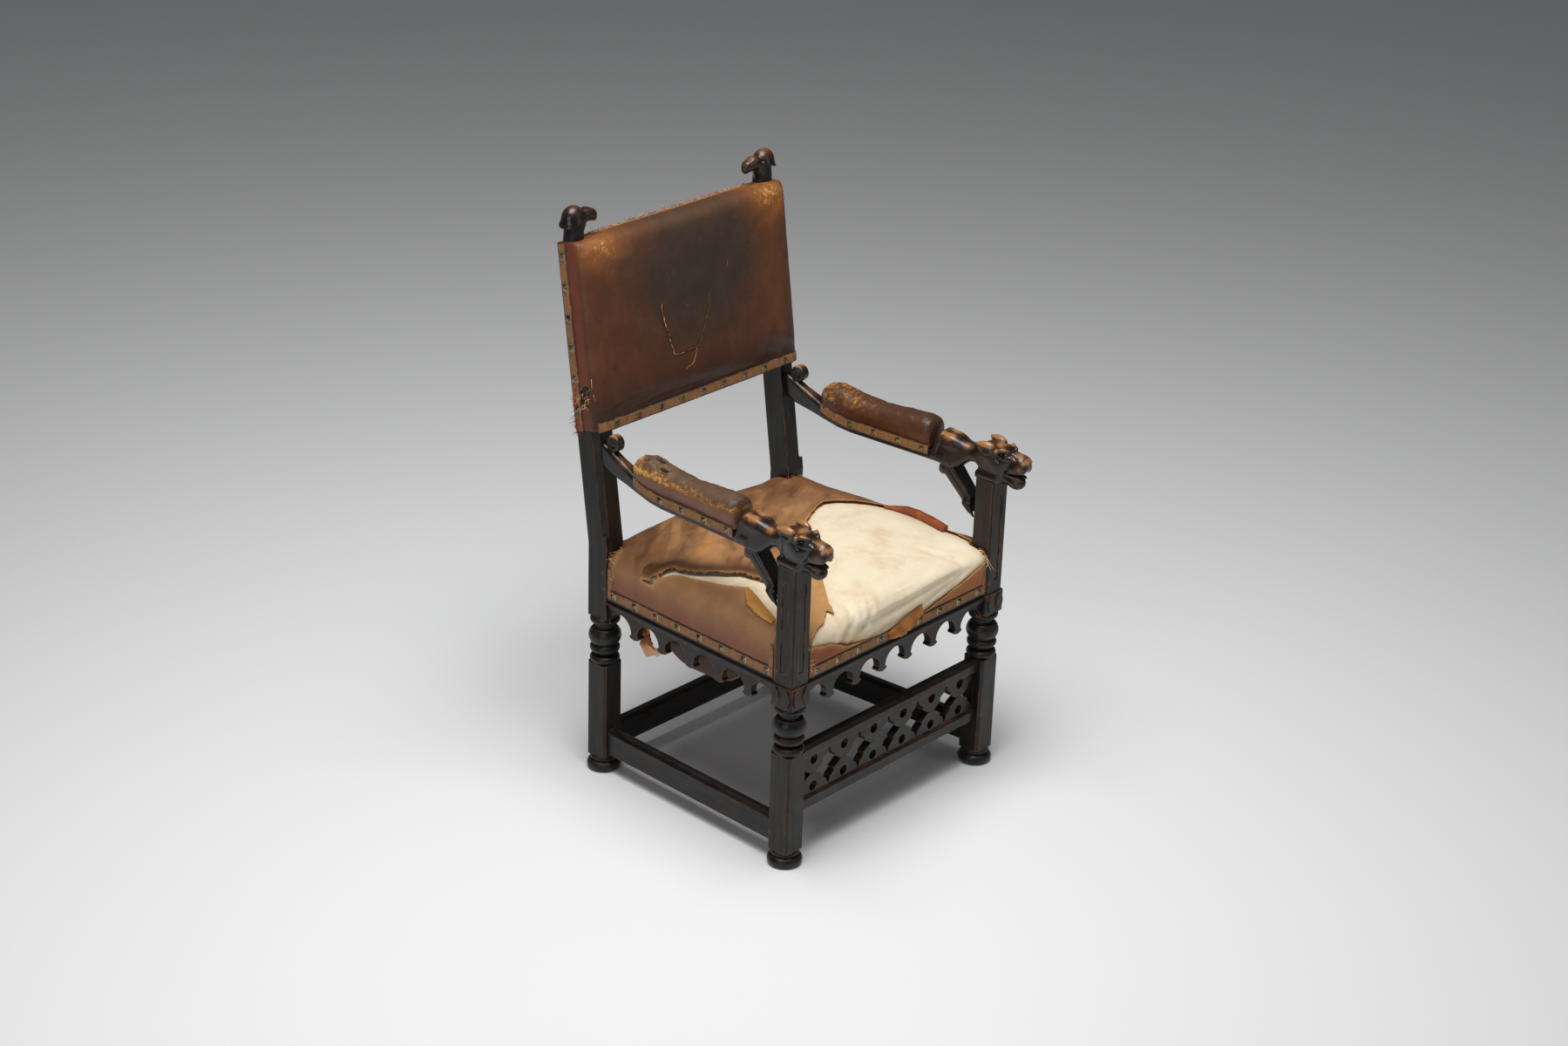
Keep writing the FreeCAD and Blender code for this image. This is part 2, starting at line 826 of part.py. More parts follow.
def seat_bottom_cloth():
    """Bottom cloth that sags like a hammock between the side rails."""
    chord = rear_half
    radius = (chord * chord + cloth_sag * cloth_sag) / (2.0 * cloth_sag)
    y0 = front_y + cloth_inset
    run = leg_depth_spacing - 2.0 * cloth_inset
    axis = V(0, y0, rail_bottom - cloth_sag + radius)
    outer = Part.makeCylinder(radius, run, axis, V(0, 1, 0))
    inner = Part.makeCylinder(radius - cloth_thickness, run, axis, V(0, 1, 0))
    below = box(-front_half, front_half, -tall, tall, -tall, rail_bottom)
    return outer.cut(inner).common(below)


# Braid and studs on the seat's sides
def seat_braid(frame, run, near_half, far_half):
    """Braid round three edges of a side band: along the bottom and up beside both posts."""
    face = rail_half + cover_build
    start = near_half + cover_build + post_gap
    end = run - far_half - cover_build - post_gap
    top = rail_top - tenon_shoulder
    low = box(start, end, face, face + braid_thickness, braid_bottom, braid_bottom + braid_width)
    width = braid_width / 2.0
    near = box(start, start + width, face, face + braid_thickness, braid_bottom, top)
    far = box(end - width, end, face, face + braid_thickness, braid_bottom, top)
    return placed(joined([low, near, far]), frame)


def stud():
    """Square pyramid nail with its shank, driven towards -Z."""
    half = stud_size / 2.0
    base = [V(-half, -half, 0), V(half, -half, 0), V(half, half, 0), V(-half, half, 0)]
    tip = V(0, 0, stud_height)
    faces = [polygon_face(base)]
    for i in range(4):
        faces.append(polygon_face([base[i], base[(i + 1) % 4], tip]))
    head = Part.Solid(Part.Shell(faces))
    shank = Part.makeCylinder(stud_shank_radius, stud_shank_length, V(0, 0, -stud_shank_length))
    return joined([head, shank])


def studs_at(places):
    return [placed(stud(), p) for p in places]


def stud_holes(places):
    radius = stud_shank_radius + joint_clearance
    length = stud_shank_length + joint_clearance
    hole = Part.makeCylinder(radius, 2.0 * length, V(0, 0, -length))
    return Part.makeCompound([placed(hole, p) for p in places])


def facing(point, normal):
    return FreeCAD.Placement(point, FreeCAD.Rotation(V(0, 0, 1), normal))


def seat_stud_places(frame, run, near_half, far_half):
    face = rail_half + cover_build + braid_thickness
    z = braid_bottom + braid_width / 2.0
    start = near_half + braid_width
    end = run - far_half - braid_width
    spots = along_pitch(start, end, stud_pitch)
    return [frame.multiply(facing(V(x, face, z), V(0, 1, 0))) for x in spots]


# Upholstered back
def back_plan(grow, rear):
    """Plan of the padded back: rounded front edges and a swelling front, larger by grow."""
    x = back_half + grow
    front = back_edge_front - grow
    r = back_edge_radius + grow
    soft = r * (1.0 - math.sqrt(0.5))
    left = V(-x, front + r, 0)
    right = V(x, front + r, 0)
    left_front = V(-x + r, front, 0)
    right_front = V(x - r, front, 0)
    edges = [line(V(-x, rear, 0), left),
             arc(left, V(-x + soft, front + soft, 0), left_front),
             arc(left_front, V(0, front - back_swell, 0), right_front),
             arc(right_front, V(x - soft, front + soft, 0), right),
             line(right, V(x, rear, 0)), line(V(x, rear, 0), V(-x, rear, 0))]
    return Part.Face(Part.Wire(edges))


def back_side(grow, rear):
    """Side view of the padded back, swelling between its bottom and top, larger by grow."""
    front = back_edge_front - grow
    half = 2.0 * back_half
    low = V(-half, front, -tall)
    swell_low = V(-half, front, back_bottom)
    swell_high = V(-half, front, rake_length)
    high = V(-half, front, tall)
    rear_high = V(-half, rear, tall)
    rear_low = V(-half, rear, -tall)
    edges = [line(low, swell_low), arc(swell_low, V(-half, front - back_swell, back_middle), swell_high),
             line(swell_high, high), line(high, rear_high), line(rear_high, rear_low), line(rear_low, low)]
    return Part.Face(Part.Wire(edges)).extrude(V(2.0 * half, 0, 0))


def back_block(grow, bottom, top, rear):
    prism = back_plan(grow, rear).extrude(V(0, 0, top - bottom))
    prism.translate(V(0, 0, bottom))
    return prism.common(back_side(grow, rear))


def back_padding():
    block = back_block(0.0, back_low_rail, rake_length - layer_gap, rear_half_depth)
    ahead = box(-tall, tall, -tall, back_front, -tall, tall)
    return placed(block.common(ahead), back_frame)


leather_outer = layer_gap + leather_thickness
leather_top = rake_length + leather_thickness


def back_leather():
    outer = back_block(leather_outer, back_bottom, leather_top, rear_half_depth)
    inner = back_block(layer_gap, -tall, rake_length, tall)
    return placed(outer.cut(inner), back_frame)


def back_hessian():
    x = back_half - rear_chamfer
    sheet = box(-x, x, back_front, back_front + hessian_thickness, back_low_rail, rake_length)
    return placed(sheet, back_frame)


def back_webbing():
    half = webbing_width / 2.0
    inner = rear_half - rear_half_width
    face = -rear_half_depth
    low = back_low_rail + strap_overlap
    high = rake_length - strap_overlap
    straps = []
    for x in strap_rows(back_straps_upright, -inner, inner, webbing_width):
        straps.append(placed(box(x - half, x + half, face, back_rail_front, low, high), back_frame))
    first = back_low_rail + back_rail_height
    last = back_top_low
    reach = back_half - strap_overlap
    for z in strap_rows(back_straps_level, first, last, webbing_width):
        strap = box(-reach, reach, face - webbing_thickness, face, z - half, z + half)
        straps.append(placed(strap, back_frame))
    return straps


def back_outer_cover():
    x = back_half + leather_outer
    sheet = box(-x, x, rear_half_depth, rear_half_depth + outer_cover_thickness, back_bottom, leather_top)
    return placed(sheet, back_frame)


braid_outer = leather_outer + braid_thickness


def back_braid():
    """Braid up both sides at the rear edge and along the bottom of the front."""
    outer = back_block(braid_outer, back_bottom, rake_length, rear_half_depth)
    shell = outer.cut(back_block(leather_outer, -tall, tall, tall))
    bottom = box(-tall, tall, -tall, tall, back_bottom, back_bottom + braid_width)
    sides = box(-tall, tall, rear_half_depth - braid_width, tall, back_bottom, rake_length)
    return placed(shell.common(joined([bottom, sides])), back_frame)


def back_stud_places():
    places = []
    x = back_half + braid_outer
    y = rear_half_depth - braid_width / 2.0
    for z in along_pitch(back_bottom + 2.0 * braid_width, rake_length - braid_width, stud_pitch):
        places.append(facing(V(-x, y, z), V(-1, 0, 0)))
        places.append(facing(V(x, y, z), V(1, 0, 0)))
    rise = back_middle - back_bottom
    radius = (rise * rise + back_swell * back_swell) / (2.0 * back_swell)
    centre_y = back_edge_front - braid_outer - back_swell + radius
    z = back_bottom + braid_width / 2.0
    reach = back_half - 2.0 * back_edge_radius
    for x in along_pitch(-reach, reach, stud_pitch):
        point = V(x, centre_y - math.sqrt(radius * radius - (z - back_middle) ** 2), z)
        places.append(facing(point, point - V(x, centre_y, back_middle)))
    return [back_frame.multiply(p) for p in places]


# Carved arms, in the left side's own frame
arm_bottom = post_top
arm_under = arm_bottom + arm_lift
arm_top = arm_under + arm_seat_height
arm_end = side_run + rear_half_depth


def arm_seat_points():
    """Top of the arm's wood under the pad, rising towards the rear."""
    middle = (arm_rise_start + pad_rear) / 2.0
    return [V(arm_rise_start, 0, arm_top), V(middle, 0, arm_top + arm_rise * 0.35),
            V(pad_rear, 0, arm_top + arm_rise)]


scroll_x = side_run - scroll_forward
scroll_z = arm_bottom + scroll_height


def arm_rail():
    """Side outline of the arm from the neck to the rear post, with the scroll at its rear."""
    under = [V(arm_rise_start, 0, arm_under), V(pad_rear - arm_rise, 0, arm_under + arm_rise * 0.3),
             V(scroll_x, 0, arm_under + arm_rise), V(arm_end, 0, arm_under + arm_end_rise)]
    seat = arm_seat_points()
    back_low = under[3]
    back_high = V(arm_end, 0, scroll_z - scroll_radius * 0.3)
    neck_low = V(arm_neck_start - arm_rise, 0, arm_under)
    neck_high = V(arm_neck_start - arm_rise, 0, arm_top)
    scroll_middle = V(scroll_x, 0, scroll_z)
    groove = V(scroll_x - scroll_radius * 0.6, 0, scroll_z - scroll_radius * 1.3)
    halfway = V((pad_rear + scroll_x) / 2.0 - scroll_radius * 0.2, 0, (seat[2].z + groove.z) / 2.0)
    edges = [line(neck_low, under[0]), spline(under), line(back_low, back_high),
             line(back_high, scroll_middle), line(scroll_middle, groove),
             spline([groove, halfway, seat[2]]), spline(list(reversed(seat))),
             line(seat[0], neck_high), line(neck_high, neck_low)]
    outline = Part.Face(Part.Wire(edges))
    board = outline.extrude(V(0, arm_width, 0))
    board.translate(V(0, -arm_width / 2.0, 0))
    board = board.common(box(-tall, pad_rear + arm_lift, -tall, tall, -tall, tall))
    swan = outline.extrude(V(0, swan_width, 0))
    swan.translate(V(0, -swan_width / 2.0, 0))
    scroll_end = V(scroll_x, -scroll_width / 2.0, scroll_z)
    scroll = Part.makeCylinder(scroll_radius, scroll_width, scroll_end, V(0, 1, 0))
    return joined([board, swan, scroll])


def arm_tenon():
    """Tenon of the arm in the front face of the rear post."""
    half = tenon_thickness / 2.0
    low = arm_bottom + arm_end_rise
    depth = rear_half_depth - tenon_web
    lean = (low - rake_start) * math.tan(math.radians(rake_angle))
    start = side_run - rear_half_depth - tenon_shoulder
    return (start, start + tenon_shoulder + lean + depth, -half, half, low, low + arm_tenon_height)


def oval_wire(x, z, width, depth):
    """Upright oval section of the neck or head."""
    centre = V(x, 0, z)
    side = V(x, width / 2.0, z)
    top = V(x, 0, z + depth / 2.0)
    if width > depth:
        curve = Part.Ellipse(side, top, centre)
    else:
        curve = Part.Ellipse(top, side, centre)
    return Part.Wire([curve.toShape()])


def oval_loft(sections):
    """Solid through oval sections, each by its place, middle height, width and depth."""
    return Part.makeLoft([oval_wire(x, arm_bottom + z, w, d) for x, z, w, d in sections], True, False)


def beast_head():
    """Neck, skull, snout, jaw and ears of the beast, from the arm forwards."""
    nose = -snout_reach
    nape = (neck_middle + skull_middle) / 2.0
    skull = oval_loft([
        (arm_neck_start, neck_middle, neck_width * 0.96, neck_depth * 0.97),
        (arm_neck_start * 0.75, neck_middle, neck_width, neck_depth),
        (arm_neck_start * 0.5, neck_middle, neck_width * 0.91, neck_depth * 0.82),
        (post_half, nape, skull_width * 0.85, skull_depth * 0.86),
        (0, skull_middle, skull_width, skull_depth),
        (nose * 0.28, skull_middle, skull_width * 0.96, skull_depth),
        (nose * 0.52, nape, skull_width * 0.78, skull_depth * 0.8),
        (nose * 0.78, neck_middle, snout_width, snout_depth),
        (nose * 0.95, neck_middle, snout_width * 0.82, snout_depth * 0.78),
        (nose, neck_middle, snout_width * 0.47, snout_depth * 0.43)])
    jaw = oval_loft([
        (0, jaw_depth * 0.5, jaw_width, jaw_depth),
        (nose * 0.35, jaw_depth * 0.38, jaw_width * 0.85, jaw_depth * 0.75),
        (nose * 0.65, jaw_depth * 0.34, jaw_width * 0.7, jaw_depth * 0.66),
        (nose * 0.82, jaw_depth * 0.38, jaw_width * 0.45, jaw_depth * 0.5)])
    chin = post_half * 0.85
    seat = box(-post_half, post_half, -chin, chin, arm_bottom, arm_bottom + post_half)
    middle = arm_bottom + mouth_height
    mouth = slab_xz([(nose * 0.3, middle), (nose * 1.1, middle - mouth_gape / 2.0),
                     (nose * 1.1, middle + mouth_gape / 2.0)], -arm_width, arm_width)
    carved = []
    for side in (-1, 1):
        root = V(0, side * ear_spread, arm_bottom + ear_height)
        lie = V(0.55, side * 0.35, 0.75)
        carved.append(Part.makeCone(ear_radius, ear_radius * 0.3, ear_length, root, lie))
        brow = V(nose * 0.34, side * brow_spread, arm_bottom + brow_height)
        carved.append(Part.makeSphere(brow_radius, brow))
    return blended([skull, seat, jaw] + carved).cut(mouth)


def left_arm():
    behind = placed(box(-tall, tall, -rear_half_depth, tall, -tall, tall), back_frame)
    rail = placed(arm_rail(), left_frame).cut(behind)
    arm = blended([rail, placed(beast_head(), left_frame), placed(tenon_solid(arm_tenon()), left_frame)])
    arm = arm.cut(post_dowel(dowel_radius + joint_clearance, dowel_length + 2.0 * joint_clearance))
    return arm.cut(box(-tall, tall, -tall, tall, -tall, arm_bottom))


def left_foreleg(arm):
    """Carved foreleg that props the arm's neck against the front post, scribed to the arm."""
    top = arm_bottom
    hidden = V(0, 0, arm_seat_height)
    outer = [V(foreleg_reach, 0, top - foreleg_drop * 0.08), V(foreleg_reach, 0, top - foreleg_drop * 0.22),
             V(foreleg_reach * 0.72, 0, top - foreleg_drop * 0.5),
             V(foreleg_reach * 0.4, 0, top - foreleg_drop * 0.85), V(0, 0, top - foreleg_drop * 1.05)]
    inner = [V(0, 0, top - foreleg_drop * 0.6), V(foreleg_reach * 0.45, 0, top - foreleg_drop * 0.42),
             V(foreleg_reach * 0.7, 0, top - foreleg_drop * 0.16),
             V(foreleg_reach * 0.72, 0, top - foreleg_drop * 0.08)]
    edges = [spline(outer), line(outer[-1], inner[0]), spline(inner), line(inner[-1], inner[-1] + hidden),
             line(inner[-1] + hidden, outer[0] + hidden), line(outer[0] + hidden, outer[0])]
    leg = Part.Face(Part.Wire(edges)).extrude(V(0, foreleg_width, 0))
    leg.translate(V(0, -foreleg_width / 2.0, 0))
    paw_x = post_half + foreleg_width * 0.45
    paw_z = top - foreleg_drop * 0.78
    paw = Part.makeSphere(foreleg_width * 0.62, V(paw_x, 0, paw_z))
    return placed(blended([leg, paw]), left_frame).cut(front_post_volume).cut(arm)


# Arm pads
def pad_block(grow):
    """Stuffed pad: a side outline and a domed section, larger by grow."""
    half = arm_width / 2.0 + grow
    front = pad_front - grow
    rear = pad_rear + grow
    low = arm_bottom
    top = arm_top + pad_height + grow
    shoulder = arm_top + pad_side_height
    round_front = pad_height * 0.3
    round_rear = pad_height * 0.7
    side_edges = [line(V(front, -half, low), V(front, -half, top - round_front)),
                  arc(V(front, -half, top - round_front),
                      V(front + round_front * 0.3, -half, top - round_front * 0.3),
                      V(front + round_front, -half, top)),
                  line(V(front + round_front, -half, top), V(rear - round_rear, -half, top)),
                  arc(V(rear - round_rear, -half, top),
                      V(rear - round_rear * 0.3, -half, top - round_rear * 0.3),
                      V(rear, -half, top - round_rear)),
                  line(V(rear, -half, top - round_rear), V(rear, -half, low)),
                  line(V(rear, -half, low), V(front, -half, low))]
    side = Part.Face(Part.Wire(side_edges)).extrude(V(0, 2.0 * half, 0))
    section_edges = [line(V(front, -half, low), V(front, -half, shoulder)),
                     arc(V(front, -half, shoulder), V(front, 0, top), V(front, half, shoulder)),
                     line(V(front, half, shoulder), V(front, half, low)),
                     line(V(front, half, low), V(front, -half, low))]
    section = Part.Face(Part.Wire(section_edges)).extrude(V(rear - front, 0, 0))
    return side.common(section)


def pad_band(low_shift, high_shift):
    """Region between two lines that follow the arm's wood under the pad, right across the arm."""
    seat = arm_seat_points()
    front = V(0, 0, arm_top)
    rear = V(pad_rear + arm_width, 0, arm_top + arm_rise)
    down = V(0, 0, low_shift)
    up = V(0, 0, high_shift)
    edges = [line(front + down, seat[0] + down), spline([p + down for p in seat]),
             line(seat[2] + down, rear + down), line(rear + down, rear + up), line(rear + up, seat[2] + up),
             spline([p + up for p in reversed(seat)]), line(seat[0] + up, front + up),
             line(front + up, front + down)]
    band = Part.Face(Part.Wire(edges)).extrude(V(0, 4.0 * arm_width, 0))
    band.translate(V(0, -2.0 * arm_width, 0))
    return band


pad_leather_outer = layer_gap + leather_thickness
pad_braid_outer = pad_leather_outer + braid_thickness
pad_skirt = arm_seat_height * 0.5
pad_braid_rise = braid_width - pad_skirt


def arm_wood():
    return blended([arm_rail(), beast_head()])


def left_arm_pad():
    return placed(pad_block(0.0).common(pad_band(0.0, tall)), left_frame)


def left_arm_leather():
    shell = pad_block(pad_leather_outer).cut(pad_block(layer_gap))
    return placed(shell.common(pad_band(-pad_skirt, tall)).cut(arm_wood()), left_frame)


def left_arm_braid():
    shell = pad_block(pad_braid_outer).cut(pad_block(pad_leather_outer))
    return placed(shell.common(pad_band(-pad_skirt, pad_braid_rise)).cut(arm_wood()), left_frame)


def arm_stud_places():
    out = arm_width / 2.0 + pad_braid_outer
    z = arm_top + (pad_braid_rise - pad_skirt) / 2.0
    places = []
    for x in along_pitch(pad_front + stud_size, arm_rise_start, stud_pitch):
        for side in (-1, 1):
            places.append(left_frame.multiply(facing(V(x, side * out, z), V(0, side, 0))))
    return places


# Eagle finials
def left_eagle():
    """Eagle head on the rear post: neck, hood with a rim, hooked beak and a dowel."""
    r = math.radians(rake_angle)
    base = V(-rear_half, rear_y + rake_length * math.sin(r) + eagle_setback,
             rake_start + rake_length * math.cos(r))
    rise = eagle_neck_radius * 0.5
    neck = Part.makeCylinder(eagle_neck_radius, eagle_hood_rim + 2.0 * rise, base - V(0, 0, rise))
    top = eagle_height - eagle_hood_rim
    hood_edge = Part.Ellipse(V(0, 0, top), V(eagle_hood_width, 0, 0), V(0, 0, 0))
    hood_arc = Part.ArcOfEllipse(hood_edge, -math.pi / 2.0, 0).toShape()
    ends = [v.Point for v in hood_arc.Vertexes]
    rim = max(ends, key=lambda p: abs(p.x))
    hood_face = Part.Face(Part.Wire([hood_arc, line(V(0, 0, top), V(0, 0, 0)), line(V(0, 0, 0), rim)]))
    hood = hood_face.revolve(V(0, 0, 0), V(0, 0, 1), 360)
    stretch = FreeCAD.Matrix()
    stretch.scale(eagle_hood_length / eagle_hood_width, 1.0, 1.0)
    hood = hood.transformGeometry(stretch)
    hood.translate(base + V(0, 0, eagle_hood_rim))
    steps = [(0.2, 0.7, 1.0, 0), (0.55, 0.7, 0.86, 10), (0.85, 0.62, 0.54, 35), (0.98, 0.46, 0.14, 65)]
    wires = []
    for out, up, thick, dip in steps:
        a = math.radians(dip)
        middle = base + V(eagle_beak_reach * out, 0, eagle_height * up)
        circle = Part.Circle(middle, V(math.cos(a), 0, -math.sin(a)), eagle_beak_radius * thick)
        wires.append(Part.Wire([circle.toShape()]))
    beak = Part.makeLoft(wires, True, False)
    under = placed(box(-tall, tall, -tall, tall, -tall, rake_length), back_frame)
    head = blended([neck, hood, beak]).cut(under)
    return blended([head, eagle_dowel(eagle_dowel_radius, eagle_dowel_length)])


# The whole chair
def chair():
    """Every piece by name, built about the middle of the four legs."""
    parts = {}
    front_posts = both(front_post_volume)
    rear_posts = both(rear_post_volume)
    left_posts = [front_post_volume, rear_post_volume]
    left_blocks = [front_block_volume, rear_block_volume]
    front_rings = [ring_clearance(-front_half, front_y), ring_clearance(front_half, front_y)]
    left_rings = [front_rings[0], ring_clearance(-rear_half, rear_y)]
    seat_front_places = seat_stud_places(front_frame, front_leg_spacing, post_half, post_half)
    seat_left_places = seat_stud_places(left_frame, side_run, post_half, rear_half_depth)
    back_places = back_stud_places()
    seat_rear_places = seat_stud_places(rear_frame, rear_leg_spacing, rear_half_width, rear_half_width)
    arm_places = arm_stud_places()
    arm = left_arm()
    eagle = left_eagle()
    eagle_seat = V(-rear_half, eagle_setback, rake_length)
    eagle_room = placed(Part.makeCylinder(eagle_neck_radius + post_gap, tall, eagle_seat), back_frame)
    front_holes = stud_holes(seat_front_places)
    rear_holes = stud_holes(seat_rear_places)
    left_holes = stud_holes(seat_left_places)
    seat_holes = [front_holes, rear_holes, left_holes, mirrored(left_holes)]

    def nailed(shape, holes):
        for hole in holes:
            shape = shape.cut(hole)
        return shape

    pairs = {
        "front_leg": front_left_leg(),
        "rear_post": nailed(rear_left_post(), [stud_holes(back_places)]),
        "eagle": eagle,
        "seat_rail": nailed(seat_rail(seat_left, left_posts, side_rail_top), [left_holes]),
        "apron": apron(left_frame, side_run, capital_half, rear_half_depth, side_arches, left_rings),
        "apron_moulding": moulding(left_frame, side_run, capital_half, rear_half_depth),
        "stretcher": plain_stretcher(foot_left, left_blocks),
        "arm": nailed(arm, [stud_holes(arm_places)]),
        "foreleg": left_foreleg(arm),
        "arm_pad": left_arm_pad(),
        "arm_leather": nailed(left_arm_leather(), [stud_holes(arm_places)]),
        "arm_braid": nailed(left_arm_braid(), [stud_holes(arm_places)]),
        "seat_braid": nailed(seat_braid(left_frame, side_run, post_half, rear_half_depth), [left_holes]),
    }
    for name, shape in pairs.items():
        parts["left_" + name] = shape
        parts["right_" + name] = mirrored(shape)

    parts["front_seat_rail"] = nailed(seat_rail(seat_front, front_posts, rail_top), [front_holes])
    parts["rear_seat_rail"] = nailed(seat_rail(seat_rear, rear_posts, rail_top), [rear_holes])
    parts["front_apron"] = apron(front_frame, front_leg_spacing, capital_half, capital_half,
                                 front_arches, front_rings)
    parts["front_apron_moulding"] = moulding(front_frame, front_leg_spacing, capital_half, capital_half)
    parts["rear_stretcher"] = plain_stretcher(foot_rear, both(rear_block_volume))
    parts["front_tracery_upper"] = tracery_board(tracery_high, True)
    parts["front_tracery_lower"] = tracery_board(tracery_low, False)
    blocks = [corner_block(True), corner_block(False)]
    parts["corner_blocks"] = Part.makeCompound(blocks + [mirrored(b) for b in blocks])
    pegs = seat_front.pegs(front_posts) + seat_rear.pegs(rear_posts) + seat_left.pegs(left_posts)
    pegs += [mirrored(p) for p in seat_left.pegs(left_posts)]
    parts["seat_rail_pegs"] = Part.makeCompound(pegs)
    pegs = tracery_low.pegs(both(front_block_volume)) + tracery_high.pegs(both(front_block_volume))
    pegs += foot_rear.pegs(both(rear_block_volume)) + foot_left.pegs(left_blocks)
    pegs += [mirrored(p) for p in foot_left.pegs(left_blocks)]
    parts["stretcher_pegs"] = Part.makeCompound(pegs)
    dowel = post_dowel(dowel_radius, dowel_length)
    parts["arm_dowels"] = Part.makeCompound([dowel, mirrored(dowel)])
    parts["seat_webbing"] = Part.makeCompound(seat_webbing())
    parts["seat_hessian"] = seat_hessian()
    parts["seat_padding"] = seat_padding()
    parts["seat_muslin"] = nailed(seat_muslin(), seat_holes)
    parts["seat_leather"] = nailed(seat_leather(), seat_holes)
    parts["seat_bottom_cloth"] = seat_bottom_cloth()
    front_band = seat_braid(front_frame, front_leg_spacing, post_half, post_half)
    parts["front_seat_braid"] = nailed(front_band, [front_holes])
    rear_band = seat_braid(rear_frame, rear_leg_spacing, rear_half_width, rear_half_width)
    parts["rear_seat_braid"] = nailed(rear_band, [rear_holes])
    left_studs = studs_at(seat_left_places)
    right_studs = [mirrored(s) for s in left_studs]
    parts["seat_studs"] = Part.makeCompound(studs_at(seat_front_places + seat_rear_places)
                                            + left_studs + right_studs)
    arm_studs = studs_at(arm_places)
    parts["arm_studs"] = Part.makeCompound(arm_studs + [mirrored(s) for s in arm_studs])
    parts["back_top_rail"] = back_rail(back_top_low)
    parts["back_bottom_rail"] = nailed(back_rail(back_low_rail), [stud_holes(back_places)])
    parts["back_webbing"] = Part.makeCompound(back_webbing())
    parts["back_hessian"] = nailed(back_hessian(), [stud_holes(back_places)])
    parts["back_padding"] = nailed(back_padding(), [stud_holes(back_places)])
    leather = nailed(back_leather(), [stud_holes(back_places)])
    parts["back_leather"] = leather.cut(eagle_room).cut(mirrored(eagle_room))
    parts["back_outer_cover"] = back_outer_cover()
    parts["back_braid"] = nailed(back_braid(), [stud_holes(back_places)])
    parts["back_studs"] = Part.makeCompound(studs_at(back_places))
    return parts


def main():
    os.makedirs("parts", exist_ok=True)
    parts = chair()
    whole = Part.makeCompound(list(parts.values())).optimalBoundingBox(True, False)
    shift = V(-(whole.XMin + whole.XMax) / 2.0, -(whole.YMin + whole.YMax) / 2.0, -whole.ZMin)
    print("size", round(whole.XLength, 1), round(whole.YLength, 1), round(whole.ZLength, 1))
    print("shift", round(shift.x, 2), round(shift.y, 2), round(shift.z, 2))
    for name, shape in parts.items():
        moved = shape.copy()
        moved.translate(shift)
        if not moved.isValid():
            print("not valid", name)
        print(name, len(moved.Solids), round(moved.Volume / 1000.0, 1))
        moved.exportStep("parts/" + name + ".step")


main()
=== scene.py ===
"""Dressed gothic throne chair: carved arms and finials, torn leather, muslin, braid and frayed threads.

Objects are in metres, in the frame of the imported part: +Z up, front of the chair towards -Y. Shapes are
worked out in millimetres: carved and stuffed forms are distance fields on a grid that become meshes.
"""
import bpy
import json
import math
import numpy as np
from mathutils import Matrix, Vector, noise


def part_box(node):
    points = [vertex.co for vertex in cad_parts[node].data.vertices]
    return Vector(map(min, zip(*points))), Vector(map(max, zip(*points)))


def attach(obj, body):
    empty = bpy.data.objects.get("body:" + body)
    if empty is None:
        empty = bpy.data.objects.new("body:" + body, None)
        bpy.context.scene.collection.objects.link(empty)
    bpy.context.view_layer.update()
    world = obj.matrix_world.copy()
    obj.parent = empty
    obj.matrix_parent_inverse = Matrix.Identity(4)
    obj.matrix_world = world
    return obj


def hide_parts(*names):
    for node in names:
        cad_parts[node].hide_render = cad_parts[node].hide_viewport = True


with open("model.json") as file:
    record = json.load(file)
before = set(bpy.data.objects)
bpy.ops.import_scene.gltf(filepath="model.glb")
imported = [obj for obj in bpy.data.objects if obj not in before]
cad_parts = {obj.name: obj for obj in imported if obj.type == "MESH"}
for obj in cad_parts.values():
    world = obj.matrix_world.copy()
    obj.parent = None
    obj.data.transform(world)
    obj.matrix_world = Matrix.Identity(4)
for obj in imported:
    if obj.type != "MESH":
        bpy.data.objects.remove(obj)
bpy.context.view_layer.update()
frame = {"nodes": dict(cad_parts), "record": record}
MM = 0.001


# Places that the frame gives, in millimetres
def node_box(node):
    low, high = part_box(node)
    return np.array(low) / MM, np.array(high) / MM


def node_middle(node):
    low, high = node_box(node)
    return (low + high) / 2.0


front_leg = node_middle("left_front_leg")
rear_leg = np.array([node_middle("left_rear_post")[0], node_middle("rear_stretcher")[1], 0.0])
post_top = node_box("left_front_leg")[1][2]

# The lean of the rear posts, and the foot and top of the back along it, as in the CAD model
rake_start = 470.0
rake_angle = math.radians(8.2)
back_low = 219.0
back_high = 569.0

# The left side's own frame and the leaning back's own frame
side_start = np.array([front_leg[0], front_leg[1], 0.0])
side_way = rear_leg - side_start
side_run = float(np.hypot(side_way[0], side_way[1]))
side_way = side_way / side_run
side_out = np.array([-side_way[1], side_way[0], 0.0])
back_start = np.array([0.0, rear_leg[1], rake_start])
back_rear = np.array([0.0, math.cos(rake_angle), -math.sin(rake_angle)])
back_up = np.array([0.0, math.sin(rake_angle), math.cos(rake_angle)])


def from_side(points):
    """From a left side's own places (along, out, up) to the part's frame."""
    points = np.asarray(points, float)
    return side_start + points[:, :1] * side_way + points[:, 1:2] * side_out + points[:, 2:] * [0, 0, 1]


def from_back(points):
    """From the leaning back's own places (across, rear, up the lean) to the part's frame."""
    points = np.asarray(points, float)
    return back_start + points[:, :1] * [1, 0, 0] + points[:, 1:2] * back_rear + points[:, 2:] * back_up


def on_side(side, points, faces):
    """Points and faces of a piece on the left, or of its mirror image on the right."""
    if side == "left":
        return points, faces
    return points * [-1.0, 1.0, 1.0], faces[:, ::-1]


